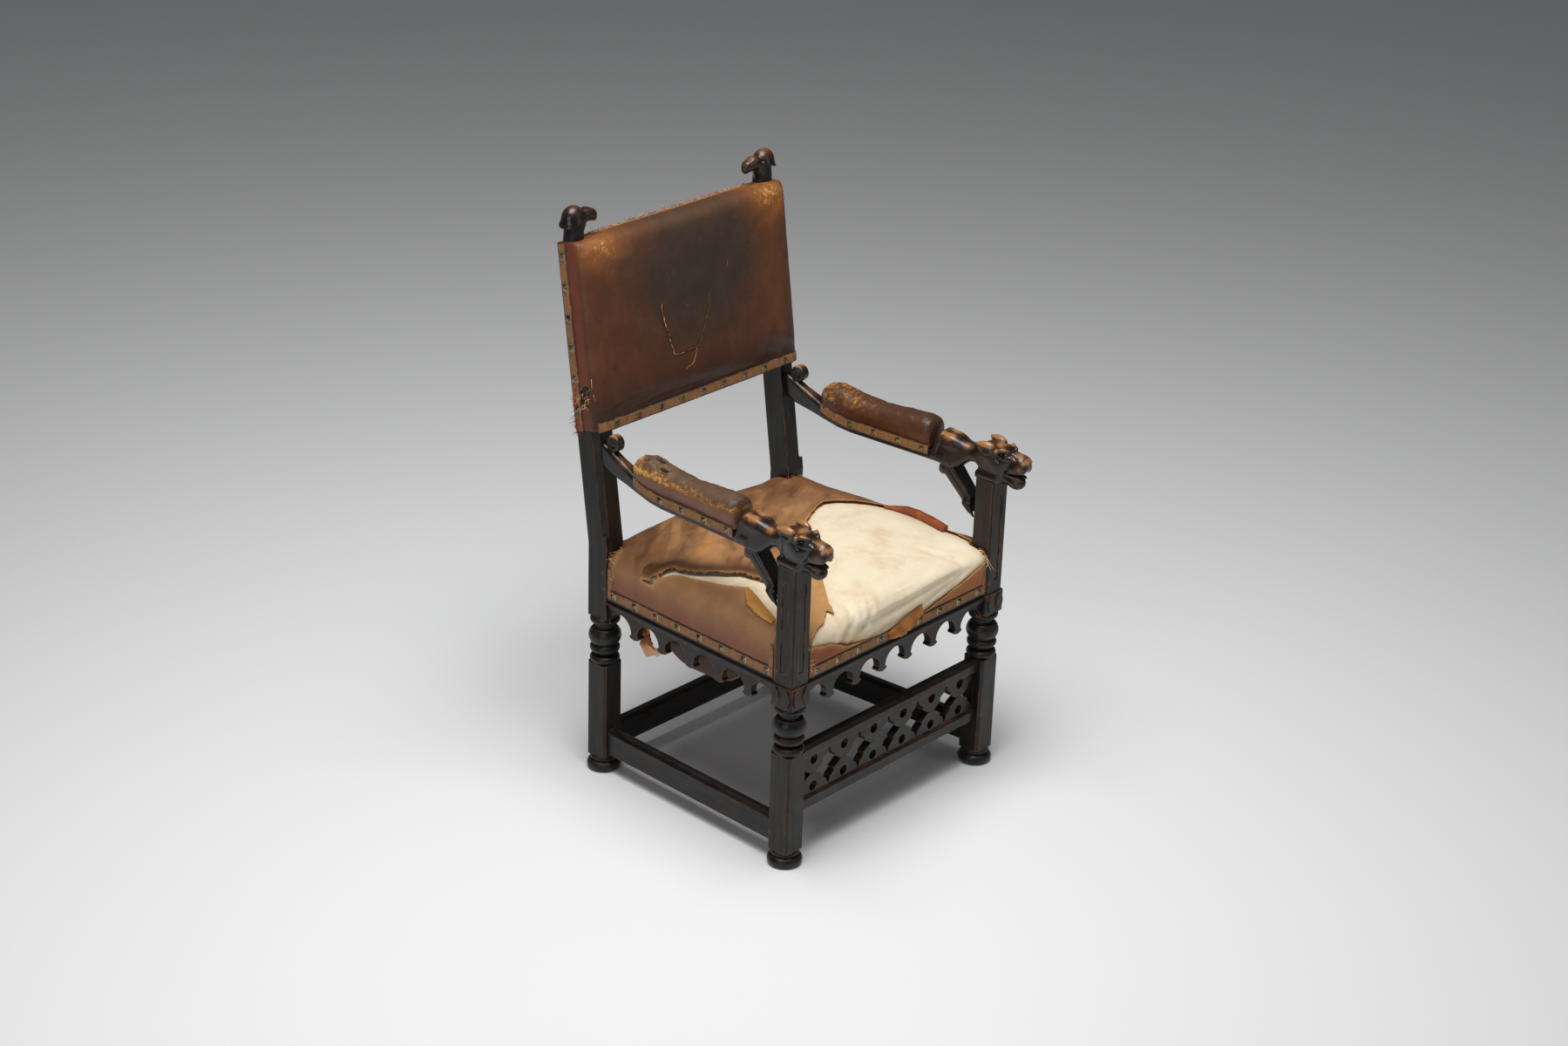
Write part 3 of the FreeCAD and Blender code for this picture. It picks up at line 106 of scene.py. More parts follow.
# Distance fields
def soft_min(a, b, soft):
    share = np.maximum(soft - np.abs(a - b), 0.0) / soft
    return np.minimum(a, b) - share * share * soft / 4.0


def soft_max(a, b, soft):
    return -soft_min(-a, -b, soft)


def rounded(side, rise, corner):
    """Section of a bar with rounded corners: side and rise are how far a place lies past its faces."""
    side = side + corner
    rise = rise + corner
    return np.hypot(np.maximum(side, 0), np.maximum(rise, 0)) + np.minimum(np.maximum(side, rise), 0) - corner


class Clay:
    """A distance field on a grid that shapes are added to and cut from."""
    far = 30.0

    def __init__(self, low, high, step):
        self.low = np.array(low, float)
        self.step = step
        self.count = np.ceil((np.array(high) - self.low) / step).astype(int) + 1
        self.field = np.full(self.count, self.far, np.float32)

    def region(self, low, high, reach):
        """The part of the grid round a box, as slices, and where its points lie."""
        first = np.clip(((np.array(low) - reach - self.low) / self.step).astype(int), 0, self.count - 1)
        last = np.clip(((np.array(high) + reach - self.low) / self.step).astype(int) + 2, 1, self.count)
        axes = [self.low[k] + self.step * np.arange(first[k], last[k]) for k in range(3)]
        return tuple(slice(a, b) for a, b in zip(first, last)), np.meshgrid(*axes, indexing="ij")

    def places(self):
        """Where every point of the grid lies."""
        return self.region(self.low, self.low + self.step * (self.count - 1), 0.0)[1]

    def blend(self, shape, soft, sign):
        measure, low, high = shape
        where, grid = self.region(low, high, soft + 4.0 * self.step)
        self.field[where] = sign * soft_min(sign * self.field[where], measure(*grid), soft)

    def add(self, shape, soft):
        self.blend(shape, soft, 1.0)

    def cut(self, shape, soft):
        self.blend(shape, soft, -1.0)

    def skin(self):
        """Points and four-sided faces of the zero surface."""
        field = self.field
        inside = field < 0.0
        corners = [(i, j, k) for i in (0, 1) for j in (0, 1) for k in (0, 1)]
        size = [n - 1 for n in field.shape]
        filled = sum(inside[i:i + size[0], j:j + size[1], k:k + size[2]].astype(np.int8) for i, j, k in corners)
        mixed = (filled > 0) & (filled < 8)
        # one point in each cell that the surface passes through, at the mean of its crossings
        cells = np.argwhere(mixed)
        number = np.full(mixed.shape, -1)
        number[mixed] = np.arange(len(cells))
        value = [field[cells[:, 0] + i, cells[:, 1] + j, cells[:, 2] + k] for i, j, k in corners]
        total = np.zeros((len(cells), 3))
        count = np.zeros(len(cells))
        for a in range(8):
            for b in range(a + 1, 8):
                way = np.array(corners[b]) - np.array(corners[a])
                if abs(way).sum() != 1:
                    continue
                crossed = (value[a] < 0) != (value[b] < 0)
                share = value[a][crossed] / (value[a][crossed] - value[b][crossed])
                total[crossed] += np.array(corners[a]) + share[:, None] * way
                count[crossed] += 1
        points = self.low + self.step * (cells + total / count[:, None])
        # one face round each line of the grid that crosses the surface
        faces = []
        for axis in range(3):
            near = [slice(1, -1)] * 3
            far = [slice(1, -1)] * 3
            near[axis] = slice(0, -1)
            far[axis] = slice(1, None)
            edges = np.argwhere(inside[tuple(near)] != inside[tuple(far)])
            side_b = np.zeros(3, int)
            side_c = np.zeros(3, int)
            side_b[(axis + 1) % 3] = 1
            side_c[(axis + 2) % 3] = 1
            edges = edges + side_b + side_c
            quad = [number[tuple((edges - shift).T)] for shift in (side_b + side_c, side_c, 0 * side_b, side_b)]
            quad = np.stack(quad, 1)
            backward = ~inside[tuple(edges.T)]
            quad[backward] = quad[backward][:, ::-1]
            faces.append(quad)
        return points, np.concatenate(faces)


def oval(middle, radii, pitch=0.0, yaw=0.0):
    """Ellipsoid; pitch tips its first axis up, yaw turns it sideways, in degrees."""
    middle = np.array(middle, float)
    radii = np.array(radii, float)
    turn = np.array(Matrix.Rotation(math.radians(yaw), 3, "Z") @ Matrix.Rotation(math.radians(-pitch), 3, "Y"))

    def measure(x, y, z):
        rel = [x - middle[0], y - middle[1], z - middle[2]]
        own = [sum(turn[j, i] * rel[j] for j in range(3)) for i in range(3)]
        first = np.sqrt(sum((own[i] / radii[i]) ** 2 for i in range(3)))
        second = np.sqrt(sum((own[i] / radii[i] ** 2) ** 2 for i in range(3)))
        return first * (first - 1.0) / np.maximum(second, 1e-6)

    reach = radii.max()
    return measure, middle - reach, middle + reach


def rod(start, end, start_radius, end_radius):
    """Round bar between two points, tapering from one radius to the other."""
    start = np.array(start, float)
    end = np.array(end, float)
    way = end - start
    length = float(way @ way)

    def measure(x, y, z):
        rel = [x - start[0], y - start[1], z - start[2]]
        share = np.clip(sum(rel[i] * way[i] for i in range(3)) / length, 0.0, 1.0)
        gap = np.sqrt(sum((rel[i] - share * way[i]) ** 2 for i in range(3)))
        return gap - (start_radius + share * (end_radius - start_radius))

    reach = max(start_radius, end_radius)
    return measure, np.minimum(start, end) - reach, np.maximum(start, end) + reach


def paired(shape):
    """The shape and its mirror image across the second axis."""
    measure, low, high = shape
    reach = max(abs(low[1]), abs(high[1]))

    def both(x, y, z):
        return measure(x, np.abs(y), z)

    return both, np.array([low[0], -reach, low[2]]), np.array([high[0], reach, high[2]])


def swept(places, low_edge, high_edge, half_width, corner):
    """Bar along the first axis whose rounded section changes between the given places."""
    places = np.array(places, float)

    def measure(x, y, z):
        low, high, half, soft = (np.interp(x, places, row) for row in (low_edge, high_edge, half_width, corner))
        rise = np.abs(z - (low + high) / 2.0) - (high - low) / 2.0
        end = np.maximum(places[0] - x, x - places[-1])
        return np.maximum(rounded(np.abs(y) - half, rise, soft) * 0.9, end)

    reach = max(half_width)
    return measure, np.array([places[0], -reach, min(low_edge)]), np.array([places[-1], reach, max(high_edge)])


# Mesh helpers
def face_corners(faces):
    return [faces[:, i] for i in range(faces.shape[1])]


def normals_of(points, faces):
    corner = face_corners(faces)
    cross = np.cross(points[corner[2]] - points[corner[0]], points[corner[-1]] - points[corner[1]])
    total = np.zeros_like(points)
    for column in corner:
        for axis in range(3):
            total[:, axis] += np.bincount(column, cross[:, axis], len(points))
    return total / np.maximum(np.linalg.norm(total, axis=1), 1e-9)[:, None]


def edges_of(faces):
    corner = face_corners(faces)
    pairs = np.concatenate([np.stack([a, b], 1) for a, b in zip(corner, corner[1:] + corner[:1])])
    return np.unique(np.sort(pairs, 1), axis=0)


def neighbour_mean(values, edges):
    """The mean of the values at the ends of each point's edges."""
    values = np.asarray(values, float)
    flat = values.reshape(len(values), -1)
    total = np.zeros_like(flat)
    for axis in range(flat.shape[1]):
        total[:, axis] += np.bincount(edges[:, 0], flat[edges[:, 1], axis], len(values))
        total[:, axis] += np.bincount(edges[:, 1], flat[edges[:, 0], axis], len(values))
    count = np.bincount(edges.ravel(), minlength=len(values))
    return (total / np.maximum(count, 1)[:, None]).reshape(values.shape)


def relaxed(points, faces, rounds):
    edges = edges_of(faces)
    for _ in range(rounds):
        points = points + 0.5 * (neighbour_mean(points, edges) - points)
    return points


def ridges_of(points, faces, rounds):
    """How far each point stands proud of its neighbours, smoothed: ridges positive, grooves negative."""
    edges = edges_of(faces)
    proud = ((points - neighbour_mean(points, edges)) * normals_of(points, faces)).sum(1)
    for _ in range(rounds):
        proud = neighbour_mean(proud, edges)
    return proud


def ripple(points, size, seed):
    """Smooth noise from about -1 to 1 at places in space or in a plane, with features of the given size."""
    roughness, spacing, octaves = 0.9, 2.0, 3
    points = np.c_[points, np.zeros((len(points), 3 - points.shape[1]))]
    shift = Vector((seed * 17.3, seed * 5.1, seed * 9.7))
    return np.array([noise.fractal(Vector(p) / size + shift, roughness, spacing, octaves) for p in points])


def ease(value, low, high):
    """From 0 at low to 1 at high, level at both ends."""
    share = np.clip((value - low) / (high - low), 0.0, 1.0)
    return share * share * (3.0 - 2.0 * share)


def bell(value, middle, width):
    """1 in the middle, fading to 0 on both sides of it."""
    return np.exp(-((value - middle) / width) ** 2)


def fade(gap, reach):
    """1 where the gap is zero or negative, fading to 0 as it grows."""
    return np.exp(-np.maximum(gap, 0.0) / reach)


def piece(name, points, faces, look, slot, masks=None, places=None):
    """A new piece of the chair, riding on its one body. Masks are values or colours for each point."""
    mesh = bpy.data.meshes.new(name)
    mesh.from_pydata((np.asarray(points) * MM).tolist(), [], [tuple(f) for f in np.asarray(faces).tolist()])
    mesh.polygons.foreach_set("use_smooth", [True] * len(mesh.polygons))
    for key, values in (masks or {}).items():
        values = np.asarray(values, np.float32)
        if values.ndim == 1:
            mesh.attributes.new(key, "FLOAT", "POINT").data.foreach_set("value", values)
        else:
            colours = np.concatenate([values, np.ones((len(values), 1), np.float32)], 1)
            mesh.attributes.new(key, "FLOAT_COLOR", "POINT").data.foreach_set("color", colours.ravel())
    if places is not None:
        layer = mesh.uv_layers.new(name="weave")
        corners = np.zeros(len(mesh.loops), int)
        mesh.loops.foreach_get("vertex_index", corners)
        layer.data.foreach_set("uv", np.asarray(places, np.float32)[corners].ravel())
    mesh.materials.append(look)
    mesh.update()
    item = bpy.data.objects.new(name, mesh)
    bpy.context.scene.collection.objects.link(item)
    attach(item, "root")
    return item


# Materials
class Look:
    """A procedural material, built socket by socket in the part's own metres."""

    def __init__(self, name):
        self.material = bpy.data.materials.new(name)
        self.material.use_nodes = True
        self.tree = self.material.node_tree
        self.shader = self.tree.nodes["Principled BSDF"]
        self.where = self.node("ShaderNodeTexCoord").outputs["Object"]

    def node(self, kind, sockets=None, **settings):
        """A new node with its settings, and what goes into its sockets: values, colours or other sockets."""
        made = self.tree.nodes.new(kind)
        for key, value in settings.items():
            setattr(made, key, value)
        for key, value in (sockets or {}).items():
            self.feed(made.inputs[key], value)
        return made

    def feed(self, socket, value):
        if isinstance(value, bpy.types.NodeSocket):
            self.tree.links.new(value, socket)
        else:
            is_colour = socket.type == "RGBA" and isinstance(value, (tuple, np.ndarray))
            socket.default_value = (*value, 1.0) if is_colour else value

    def stretched(self, scale):
        return self.node("ShaderNodeMapping", {"Vector": self.where, "Scale": scale}).outputs["Vector"]

    def noise(self, size_mm, detail=4.0, stretch=(1, 1, 1), roughness=0.55):
        sockets = {"Vector": self.stretched(stretch), "Scale": 1.0 / (size_mm * MM), "Detail": detail,
                   "Roughness": roughness}
        return self.node("ShaderNodeTexNoise", sockets).outputs["Fac"]

    def cells(self, size_mm, stretch=(1, 1, 1)):
        sockets = {"Vector": self.stretched(stretch), "Scale": 1.0 / (size_mm * MM)}
        return self.node("ShaderNodeTexVoronoi", sockets).outputs["Distance"]

    def span(self, value, low, high, start=0.0, end=1.0):
        sockets = {"Value": value, "From Min": low, "From Max": high, "To Min": start, "To Max": end}
        return self.node("ShaderNodeMapRange", sockets, interpolation_type="SMOOTHSTEP").outputs["Result"]

    def math(self, operation, first, second):
        return self.node("ShaderNodeMath", {0: first, 1: second}, operation=operation).outputs[0]

    def product(self, first, second):
        return self.math("MULTIPLY", first, second)

    def total(self, first, second):
        return self.math("ADD", first, second)

    def less(self, first, second):
        return self.math("SUBTRACT", first, second)

    def mix(self, share, first, second, blend="MIX"):
        sockets = {0: share, 6: first, 7: second}
        return self.node("ShaderNodeMix", sockets, data_type="RGBA", blend_type=blend).outputs[2]

    def times(self, first, second):
        return self.mix(1.0, first, second, "MULTIPLY")

    def mask(self, name):
        return self.node("ShaderNodeAttribute", attribute_name=name).outputs["Fac"]

    def paint(self, name):
        return self.node("ShaderNodeAttribute", attribute_name=name).outputs["Color"]

    def bump(self, height, depth_mm):
        return self.node("ShaderNodeBump", {"Distance": depth_mm * MM, "Height": height}).outputs["Normal"]

    def finish(self, **inputs):
        for key, value in inputs.items():
            self.feed(self.shader.inputs[key.replace("_", " ")], value)
        return self.material


def worn_edge(look, radius_mm):
    """A mask that is 1 on worn edges: where the rounded normal leaves the true one."""
    soft = look.node("ShaderNodeBevel", {"Radius": radius_mm * MM}, samples=6).outputs["Normal"]
    true = look.node("ShaderNodeNewGeometry").outputs["Normal"]
    dot = look.node("ShaderNodeVectorMath", {0: soft, 1: true}, operation="DOT_PRODUCT")
    return look.span(dot.outputs["Value"], 0.995, 0.86)


def ebonised_wood(name, grain_way):
    """Black stained wood whose grain runs along axis 0, 1 or 2."""
    look = Look(name)
    stretch = [1.0, 1.0, 1.0]
    stretch[grain_way] = 0.08
    grain = look.noise(9.0, 6.0, stretch)
    cloud = look.noise(60.0, 4.0)
    pits = look.span(look.cells(6.5), 0.13, 0.07)
    pits = look.product(pits, look.span(look.noise(30.0, 2.0), 0.46, 0.56))
    rubbed = look.product(worn_edge(look, 3.0), look.span(look.noise(22.0, 5.0), 0.4, 0.6))
    colour = look.mix(look.span(grain, 0.3, 0.7), (0.004, 0.0036, 0.0034), (0.019, 0.0165, 0.015))
    colour = look.mix(look.span(cloud, 0.5, 0.75, 0.0, 0.7), colour, (0.024, 0.0125, 0.0075))
    colour = look.mix(rubbed, colour, (0.24, 0.088, 0.038))
    dust = look.product(look.span(look.noise(2.2, 4.0), 0.6, 0.75), look.span(cloud, 0.4, 0.6, 0.1, 0.3))
    colour = look.mix(dust, colour, (0.14, 0.12, 0.1))
    colour = look.mix(pits, colour, (0.002, 0.0018, 0.0016))
    height = look.less(look.product(grain, 0.35), look.product(pits, 1.4))
    return look.finish(Base_Color=colour, Roughness=look.span(cloud, 0.3, 0.7, 0.27, 0.46),
                       Normal=look.bump(height, 0.5), Specular_IOR_Level=0.33)


def carved_wood():
    look = Look("carved_wood")
    grain = look.noise(7.0, 6.0, (1, 0.15, 1))
    wear = look.total(look.mask("wear"), look.span(look.noise(9.0, 5.0), 0.3, 0.7, -0.07, 0.07))
    colour = look.mix(grain, (0.0045, 0.0034, 0.003), (0.013, 0.0085, 0.007))
    colour = look.mix(look.span(wear, 0.08, 0.55), colour, (0.075, 0.03, 0.0135))
    colour = look.mix(look.span(wear, 0.4, 1.0), colour, (0.36, 0.17, 0.06))
    rough = look.span(look.noise(30.0, 3.0), 0.3, 0.7, 0.2, 0.34)
    return look.finish(Base_Color=colour, Roughness=rough, Normal=look.bump(grain, 0.15), Specular_IOR_Level=0.5)


def frame_wood():
    look = Look("frame_wood")
    grain = look.noise(6.0, 6.0, (0.12, 1, 1))
    colour = look.mix(grain, (0.17, 0.095, 0.045), (0.33, 0.2, 0.1))
    return look.finish(Base_Color=colour, Roughness=0.7, Normal=look.bump(grain, 0.3))


def woven(name, light, dark, pitch_mm, depth_mm):
    """Plain cloth: threads across and along, with uneven colour."""
    look = Look(name)
    sockets = {"Vector": look.where, "Scale": 0.314 / (pitch_mm * MM), "Distortion": 0.6}
    waves = [look.node("ShaderNodeTexWave", sockets, bands_direction=way).outputs["Fac"] for way in "XY"]
    thread = look.product(*waves)
    cloud = look.noise(60.0, 5.0)
    colour = look.mix(look.total(look.product(thread, 0.4), look.span(cloud, 0.3, 0.7, 0, 0.6)),
                      dark, light)
    return look.finish(Base_Color=colour, Roughness=0.9, Normal=look.bump(thread, depth_mm), Sheen_Weight=0.15)


def stud_metal():
    look = Look("stud_metal")
    patch = look.noise(5.0, 5.0)
    bright = look.product(worn_edge(look, 0.8), 0.7)
    colour = look.mix(look.span(patch, 0.35, 0.65), (0.07, 0.052, 0.034), (0.34, 0.27, 0.16))
    colour = look.mix(bright, colour, (0.82, 0.68, 0.42))
    return look.finish(Base_Color=colour, Metallic=0.9, Roughness=look.span(patch, 0.3, 0.7, 0.2, 0.36),
                       Normal=look.bump(patch, 0.2))


looks = {
    "carved_wood": carved_wood(),
    "frame_wood": frame_wood(),
    "jute": woven("jute", (0.42, 0.31, 0.18), (0.2, 0.13, 0.07), 2.4, 0.6),
    "stud_metal": stud_metal(),
}
dark_woods = [ebonised_wood("ebonised_wood_" + axis, way) for way, axis in enumerate("xyz")]
plain_leather = woven("plain_leather", (0.14, 0.07, 0.04), (0.06, 0.03, 0.02), 1.0, 0.1)


# The nodes that stay as the CAD model has them, with worn edges
edge_rounding = {"ebonised_wood": 1.1, "frame_wood": 0.8, "stud_metal": 0.5}
for entry in frame["record"]["subparts"]:
    item = frame["nodes"][entry["node"]]
    kind = entry["material_slot"]
    item.data.materials.clear()
    low, high = node_box(entry["node"])
    dark_wood = dark_woods[int(np.argmax(high - low))]
    item.data.materials.append(dark_wood if kind == "ebonised_wood" else looks.get(kind, plain_leather))
    if kind in edge_rounding:
        bevel = item.modifiers.new("worn", "BEVEL")
        bevel.width = edge_rounding[kind] * MM
        bevel.segments = 2
        bevel.limit_method = "ANGLE"
        bevel.angle_limit = math.radians(35.0)


# Carved arms
def scroll_groove(middle, radius, half_width, pitch):
    """Spiral line cut into both faces of a scroll."""
    def measure(x, y, z):
        out = np.hypot(x - middle[0], z - middle[2])
        turn = (np.arctan2(z - middle[2], x - middle[0]) + 0.6 * math.pi) % (2.0 * math.pi) / (2.0 * math.pi)
        gaps = [np.abs(out - (radius * 0.84 - pitch * (turn + lap))) for lap in (0, 1)]
        line = np.minimum(gaps[0], gaps[1]) - 1.3
        return np.maximum(line, half_width - 2.4 - np.abs(y - middle[1]))

    size = np.array([radius, half_width, radius])
    return measure, middle - size, middle + size


def disc(middle, radius, half_width, corner):
    """Round disc facing the second axis, with rounded rims."""
    def measure(x, y, z):
        out = np.hypot(x - middle[0], z - middle[2]) - radius
        return rounded(out, np.abs(y - middle[1]) - half_width, corner)

    size = np.array([radius, half_width, radius])
    return measure, middle - size, middle + size


def collar():
    """Raised band round the root of the neck, leaning with the pad behind it."""
    def measure(x, y, z):
        rise = z - 34.0
        section = rounded(np.abs(y) - 24.6, np.abs(rise) - 31.5, 14.0)
        band = np.abs(x + 0.3 * rise - 116.0) - 5.0
        return soft_max(section, band, 2.5)

    return measure, np.array([96.0, -27.0, -6.0]), np.array([138.0, 27.0, 74.0])


def add_beast(clay):
    """Neck and head of the beast; places are along the side, out from its middle and above the post."""
    # neck with its mane and collar
    clay.add(swept([14, 24, 34, 46, 56, 68, 84, 100, 118], [8, 17, 22, 20, 13, 2, -7, -3, 3],
                   [66, 60, 57, 55, 56, 59, 62, 63, 61], [21, 19, 18, 18, 19, 20, 22, 23, 22],
                   [18, 16, 16, 16, 16, 17, 18, 18, 18]), 6.0)
    clay.add(paired(oval((90, 11.5, 49), (26, 11.5, 14.5), 4)), 5.0)
    clay.cut(rod((62, 0, 66), (106, 0, 71), 3.0, 3.0), 6.0)
    clay.add(collar(), 0.8)
    # skull, cheeks, snout and nostrils
    clay.add(oval((-8, 0, 48), (36, 24, 24)), 9.0)
    clay.add(oval((-7, 0, 28), (31, 22, 28)), 8.0)
    clay.add(paired(oval((-22, 13.5, 35), (18, 10, 18))), 6.0)
    clay.add(rod((-28, 0, 48), (-62, 0, 47), 20, 16.5), 7.0)
    clay.add(oval((-67, 0, 45), (15, 17, 15), -12), 5.0)
    clay.add(paired(oval((-59, 10.5, 37), (21, 9.5, 12), -4, 8)), 4.0)
    clay.cut(paired(rod((-43, 12.5, 62.5), (-60, 15, 56), 2.3, 1.8)), 2.0)
    clay.cut(paired(oval((-79, 11.5, 46.5), (3.6, 2.6, 2.2))), 2.2)
    clay.add(paired(rod((-66, 12.5, 53), (-76, 11, 50), 2.6, 2.2)), 4.0)
    # eyes under arched brows
    clay.add(paired(oval((-28, 11, 61), (16, 10, 8), 6)), 5.0)
    clay.cut(paired(oval((-34, 22, 58), (11, 8.5, 7.4), 8, 12)), 1.5)
    clay.add(paired(oval((-36, 14.8, 57.5), (6.0, 4.8, 4.4))), 0.6)
    clay.add(paired(rod((-16, 21.5, 53), (-20, 21.8, 61.5), 2.4, 3.0)), 2.5)
    clay.add(paired(rod((-20, 21.8, 61.5), (-30, 19.2, 67.5), 3.0, 3.4)), 2.5)
    clay.add(paired(rod((-30, 19.2, 67.5), (-43, 11, 65.5), 3.4, 3.0)), 2.5)
    clay.add(paired(rod((-50, 15, 55), (-28, 20.5, 52), 2.2, 2.4)), 3.0)
    clay.cut(paired(rod((-14, 23.4, 52), (-26, 22.2, 45.5), 1.8, 2.3)), 2.0)
    clay.cut(paired(rod((-26, 22.2, 45.5), (-52, 18.6, 49), 2.3, 1.7)), 2.0)
    clay.cut(paired(rod((-40, 20.5, 28), (-46, 20, 43), 3.0, 2.4)), 4.0)
    clay.cut(rod((-52, 0, 74), (-22, 0, 80), 3.2, 3.2), 6.0)
    # cupped ears laid back
    clay.add(paired(oval((2, 20.5, 64.5), (19, 8.8, 13), 3, 8)), 2.0)
    clay.add(paired(rod((10, 22, 67.5), (21, 24, 70), 7.0, 3.4)), 4.0)
    clay.cut(paired(oval((3, 30.5, 60.5), (15, 7.0, 6.4), 4, 6)), 1.2)
    # jaw and mouth
    clay.add(rod((-14, 0, 11), (-54, 0, 9), 15, 12), 6.0)
    clay.add(oval((-56, 0, 6.5), (17, 15, 14)), 6.0)
    clay.cut(swept([-95, -48], [17, 24], [30, 25.5], [34, 34], [0.6, 0.6]), 1.2)
    clay.cut(oval((-64, 0, 24), (17, 10, 6), -8), 1.2)
    clay.add(paired(rod((-44, 18, 28.5), (-74, 10.5, 32), 2.4, 2.4)), 3.0)
    clay.add(paired(rod((-44, 16.5, 20), (-69, 9, 16.5), 2.8, 2.4)), 3.0)
    # flat foot on the post
    clay.add(swept([-23.8, 23.8], [-0.5] * 2, [14] * 2, [23.6, 23.6], [6, 6]), 9.0)
    clay.cut(swept([-25.2, 60], [-40] * 2, [0] * 2, [60, 60], [0.5, 0.5]), 0.4)


def arm_clay():
    clay = Clay((-92, -33, -16), (500, 33, 106), 1.5)
    # rail under the pad, which rises to the swan neck, and the scroll at its top
    places = [98, 130, 250, 318, 350, 390, 420, 445, 462, 484, 496]
    low = [4.5, 4.5, 4.5, 4.5, 6, 10.5, 14.5, 18, 21.5, 32, 39]
    high = [24, 24.5, 24.5, 24.5, 27.5, 38, 49, 59, 67, 76, 77]
    half = [23, 23, 23, 23, 21.5, 17, 13.5, 12, 11.5, 11.5, 11.5]
    corner = [5, 5, 5, 5, 6, 8, 9.5, 10, 9, 6, 5]
    clay.add(swept(places, low, high, half, corner), 0.5)
    scroll = np.array([460.0, 0.0, 83.0])
    clay.add(disc(scroll, 16.0, 9.5, 4.0), 2.5)
    clay.cut(scroll_groove(scroll, 16.0, 9.5, 6.8), 1.2)
    clay.add(paired(oval(scroll + [0, 8.6, 0], (4.6, 3.2, 4.6))), 1.2)
    add_beast(clay)
    return clay


def above_post(clay):
    """Skin of a field that was worked out above the post's top."""
    points, faces = clay.skin()
    return points + [0.0, 0.0, post_top], faces


def polish_of(points, faces, spots):
    """Rubbed places: each is a spot, its radius and its strength, stronger on faces that look up."""
    upward = 0.35 + 0.65 * ease(normals_of(points, faces)[:, 2], -0.1, 0.7)
    total = np.zeros(len(points))
    for place, radius, strength in spots:
        gap = np.linalg.norm((points - place) * [1.0, 1.0, 0.9], axis=1) / radius
        total = np.maximum(total, strength * np.exp(-gap ** 2))
    proud = np.clip(ridges_of(points, faces, 30) * 9.0, -0.4, 0.4)
    return np.clip(total * upward * (1.0 + 0.15 * ripple(points, 14.0, 3.0)) + proud * (0.25 + total), 0.0, 1.1)


def both_sides(spots):
    """Spots given above the post's top, and their mirror images, as places of a side."""
    return [((x, sign * y, post_top + z), radius, strength)
            for sign in (1, -1) for (x, y, z), radius, strength in spots]


def carved_pair(name, local, faces, wear):
    """The left piece and its mirror image on the right, each in place of its node."""
    for side, rubbed in zip(("left", "right"), wear):
        item = piece(side + "_" + name + "_carving", *on_side(side, local, faces), looks["carved_wood"],
                     "carved_wood", {"wear": rubbed})
        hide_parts(side + "_" + name)


arm_points, arm_faces = above_post(arm_clay())
arm_spots = both_sides([
    ((2, 21, 74), 17, 1.05), ((18, 23, 72), 10, 0.9), ((-30, 17, 75), 10, 0.95),
    ((-20, 22, 64), 6, 0.8), ((-18, 6, 74), 13, 0.8), ((-60, 5, 60), 15, 0.6),
    ((-82, 6, 54), 10, 0.85), ((-68, 18, 38), 10, 0.75), ((-76, 13, 50), 6, 0.8),
    ((92, 13, 68), 17, 0.95), ((50, 14, 54), 13, 0.7), ((116, 14, 68), 8, 0.6),
    ((-62, 9, 14), 10, 0.35), ((462, 6, 99), 10, 0.7), ((430, 6, 56), 22, 0.35)])
arm_wear = polish_of(arm_points, arm_faces, arm_spots)
carved_pair("arm", from_side(arm_points), arm_faces, (arm_wear, arm_wear))


# Forelegs under the arms
def bar(start, end, half_width, half_depth, corner):
    """Square bar with rounded corners between two points in the plane of the first and third axes."""
    start = np.array(start, float)
    way = np.array(end, float) - start
    length = float(np.hypot(way[0], way[2]))
    way = way / length

    def measure(x, y, z):
        along = (x - start[0]) * way[0] + (z - start[2]) * way[2]
        share = np.clip(along / length, 0.0, 1.0)
        depth = np.abs((z - start[2]) * way[0] - (x - start[0]) * way[2])
        depth = depth - half_depth[0] - share * (half_depth[1] - half_depth[0])
        side = np.abs(y) - half_width[0] - share * (half_width[1] - half_width[0])
        return np.maximum(rounded(side, depth, corner), np.maximum(-along, along - length))

    reach = max(half_width) + max(half_depth)
    ends = np.stack([start, start + length * way])
    return measure, ends.min(0) - reach, ends.max(0) + reach


def foreleg_clay():
    clay = Clay((18, -22, -96), (136, 22, 8), 1.2)
    # leg with its shoulder, ankle and grooves
    clay.add(bar((100, 0, 6), (42, 0, -56), (17.5, 16), (14.5, 11), 5.0), 1.0)
    clay.add(oval((104, 0, -10), (13, 16.5, 14), 40), 5.0)
    clay.add(oval((45, 0, -59), (14, 18, 13), 40), 4.0)
    clay.cut(paired(rod((94, 18.4, -14), (50, 16.8, -58), 1.5, 1.3)), 2.0)
    clay.cut(paired(rod((88, 18.0, -2), (44, 16.4, -46), 1.3, 1.2)), 2.0)
    # toes with claws, cut off flat at the face of the post
    for toe, height in ((-12, -62), (-4, -58), (4, -58), (12, -62)):
        clay.add(rod((48, toe * 1.15, height), (35, toe * 1.15, height - 12), 6.2, 5.6), 1.2)
        clay.add(rod((35, toe * 1.15, height - 12), (28, toe * 1.1, height - 22), 4.2, 1.8), 1.0)
    clay.cut(swept([0, 23.2], [-120] * 2, [20] * 2, [40, 40], [0.5, 0.5]), 0.4)
    return clay


leg_points, leg_faces = above_post(foreleg_clay())
leg_spots = both_sides([((58, 15, -44), 14, 0.45), ((104, 15, -4), 10, 0.5)])
leg_wear = polish_of(leg_points, leg_faces, leg_spots)
carved_pair("foreleg", from_side(leg_points), leg_faces, (leg_wear, leg_wear))


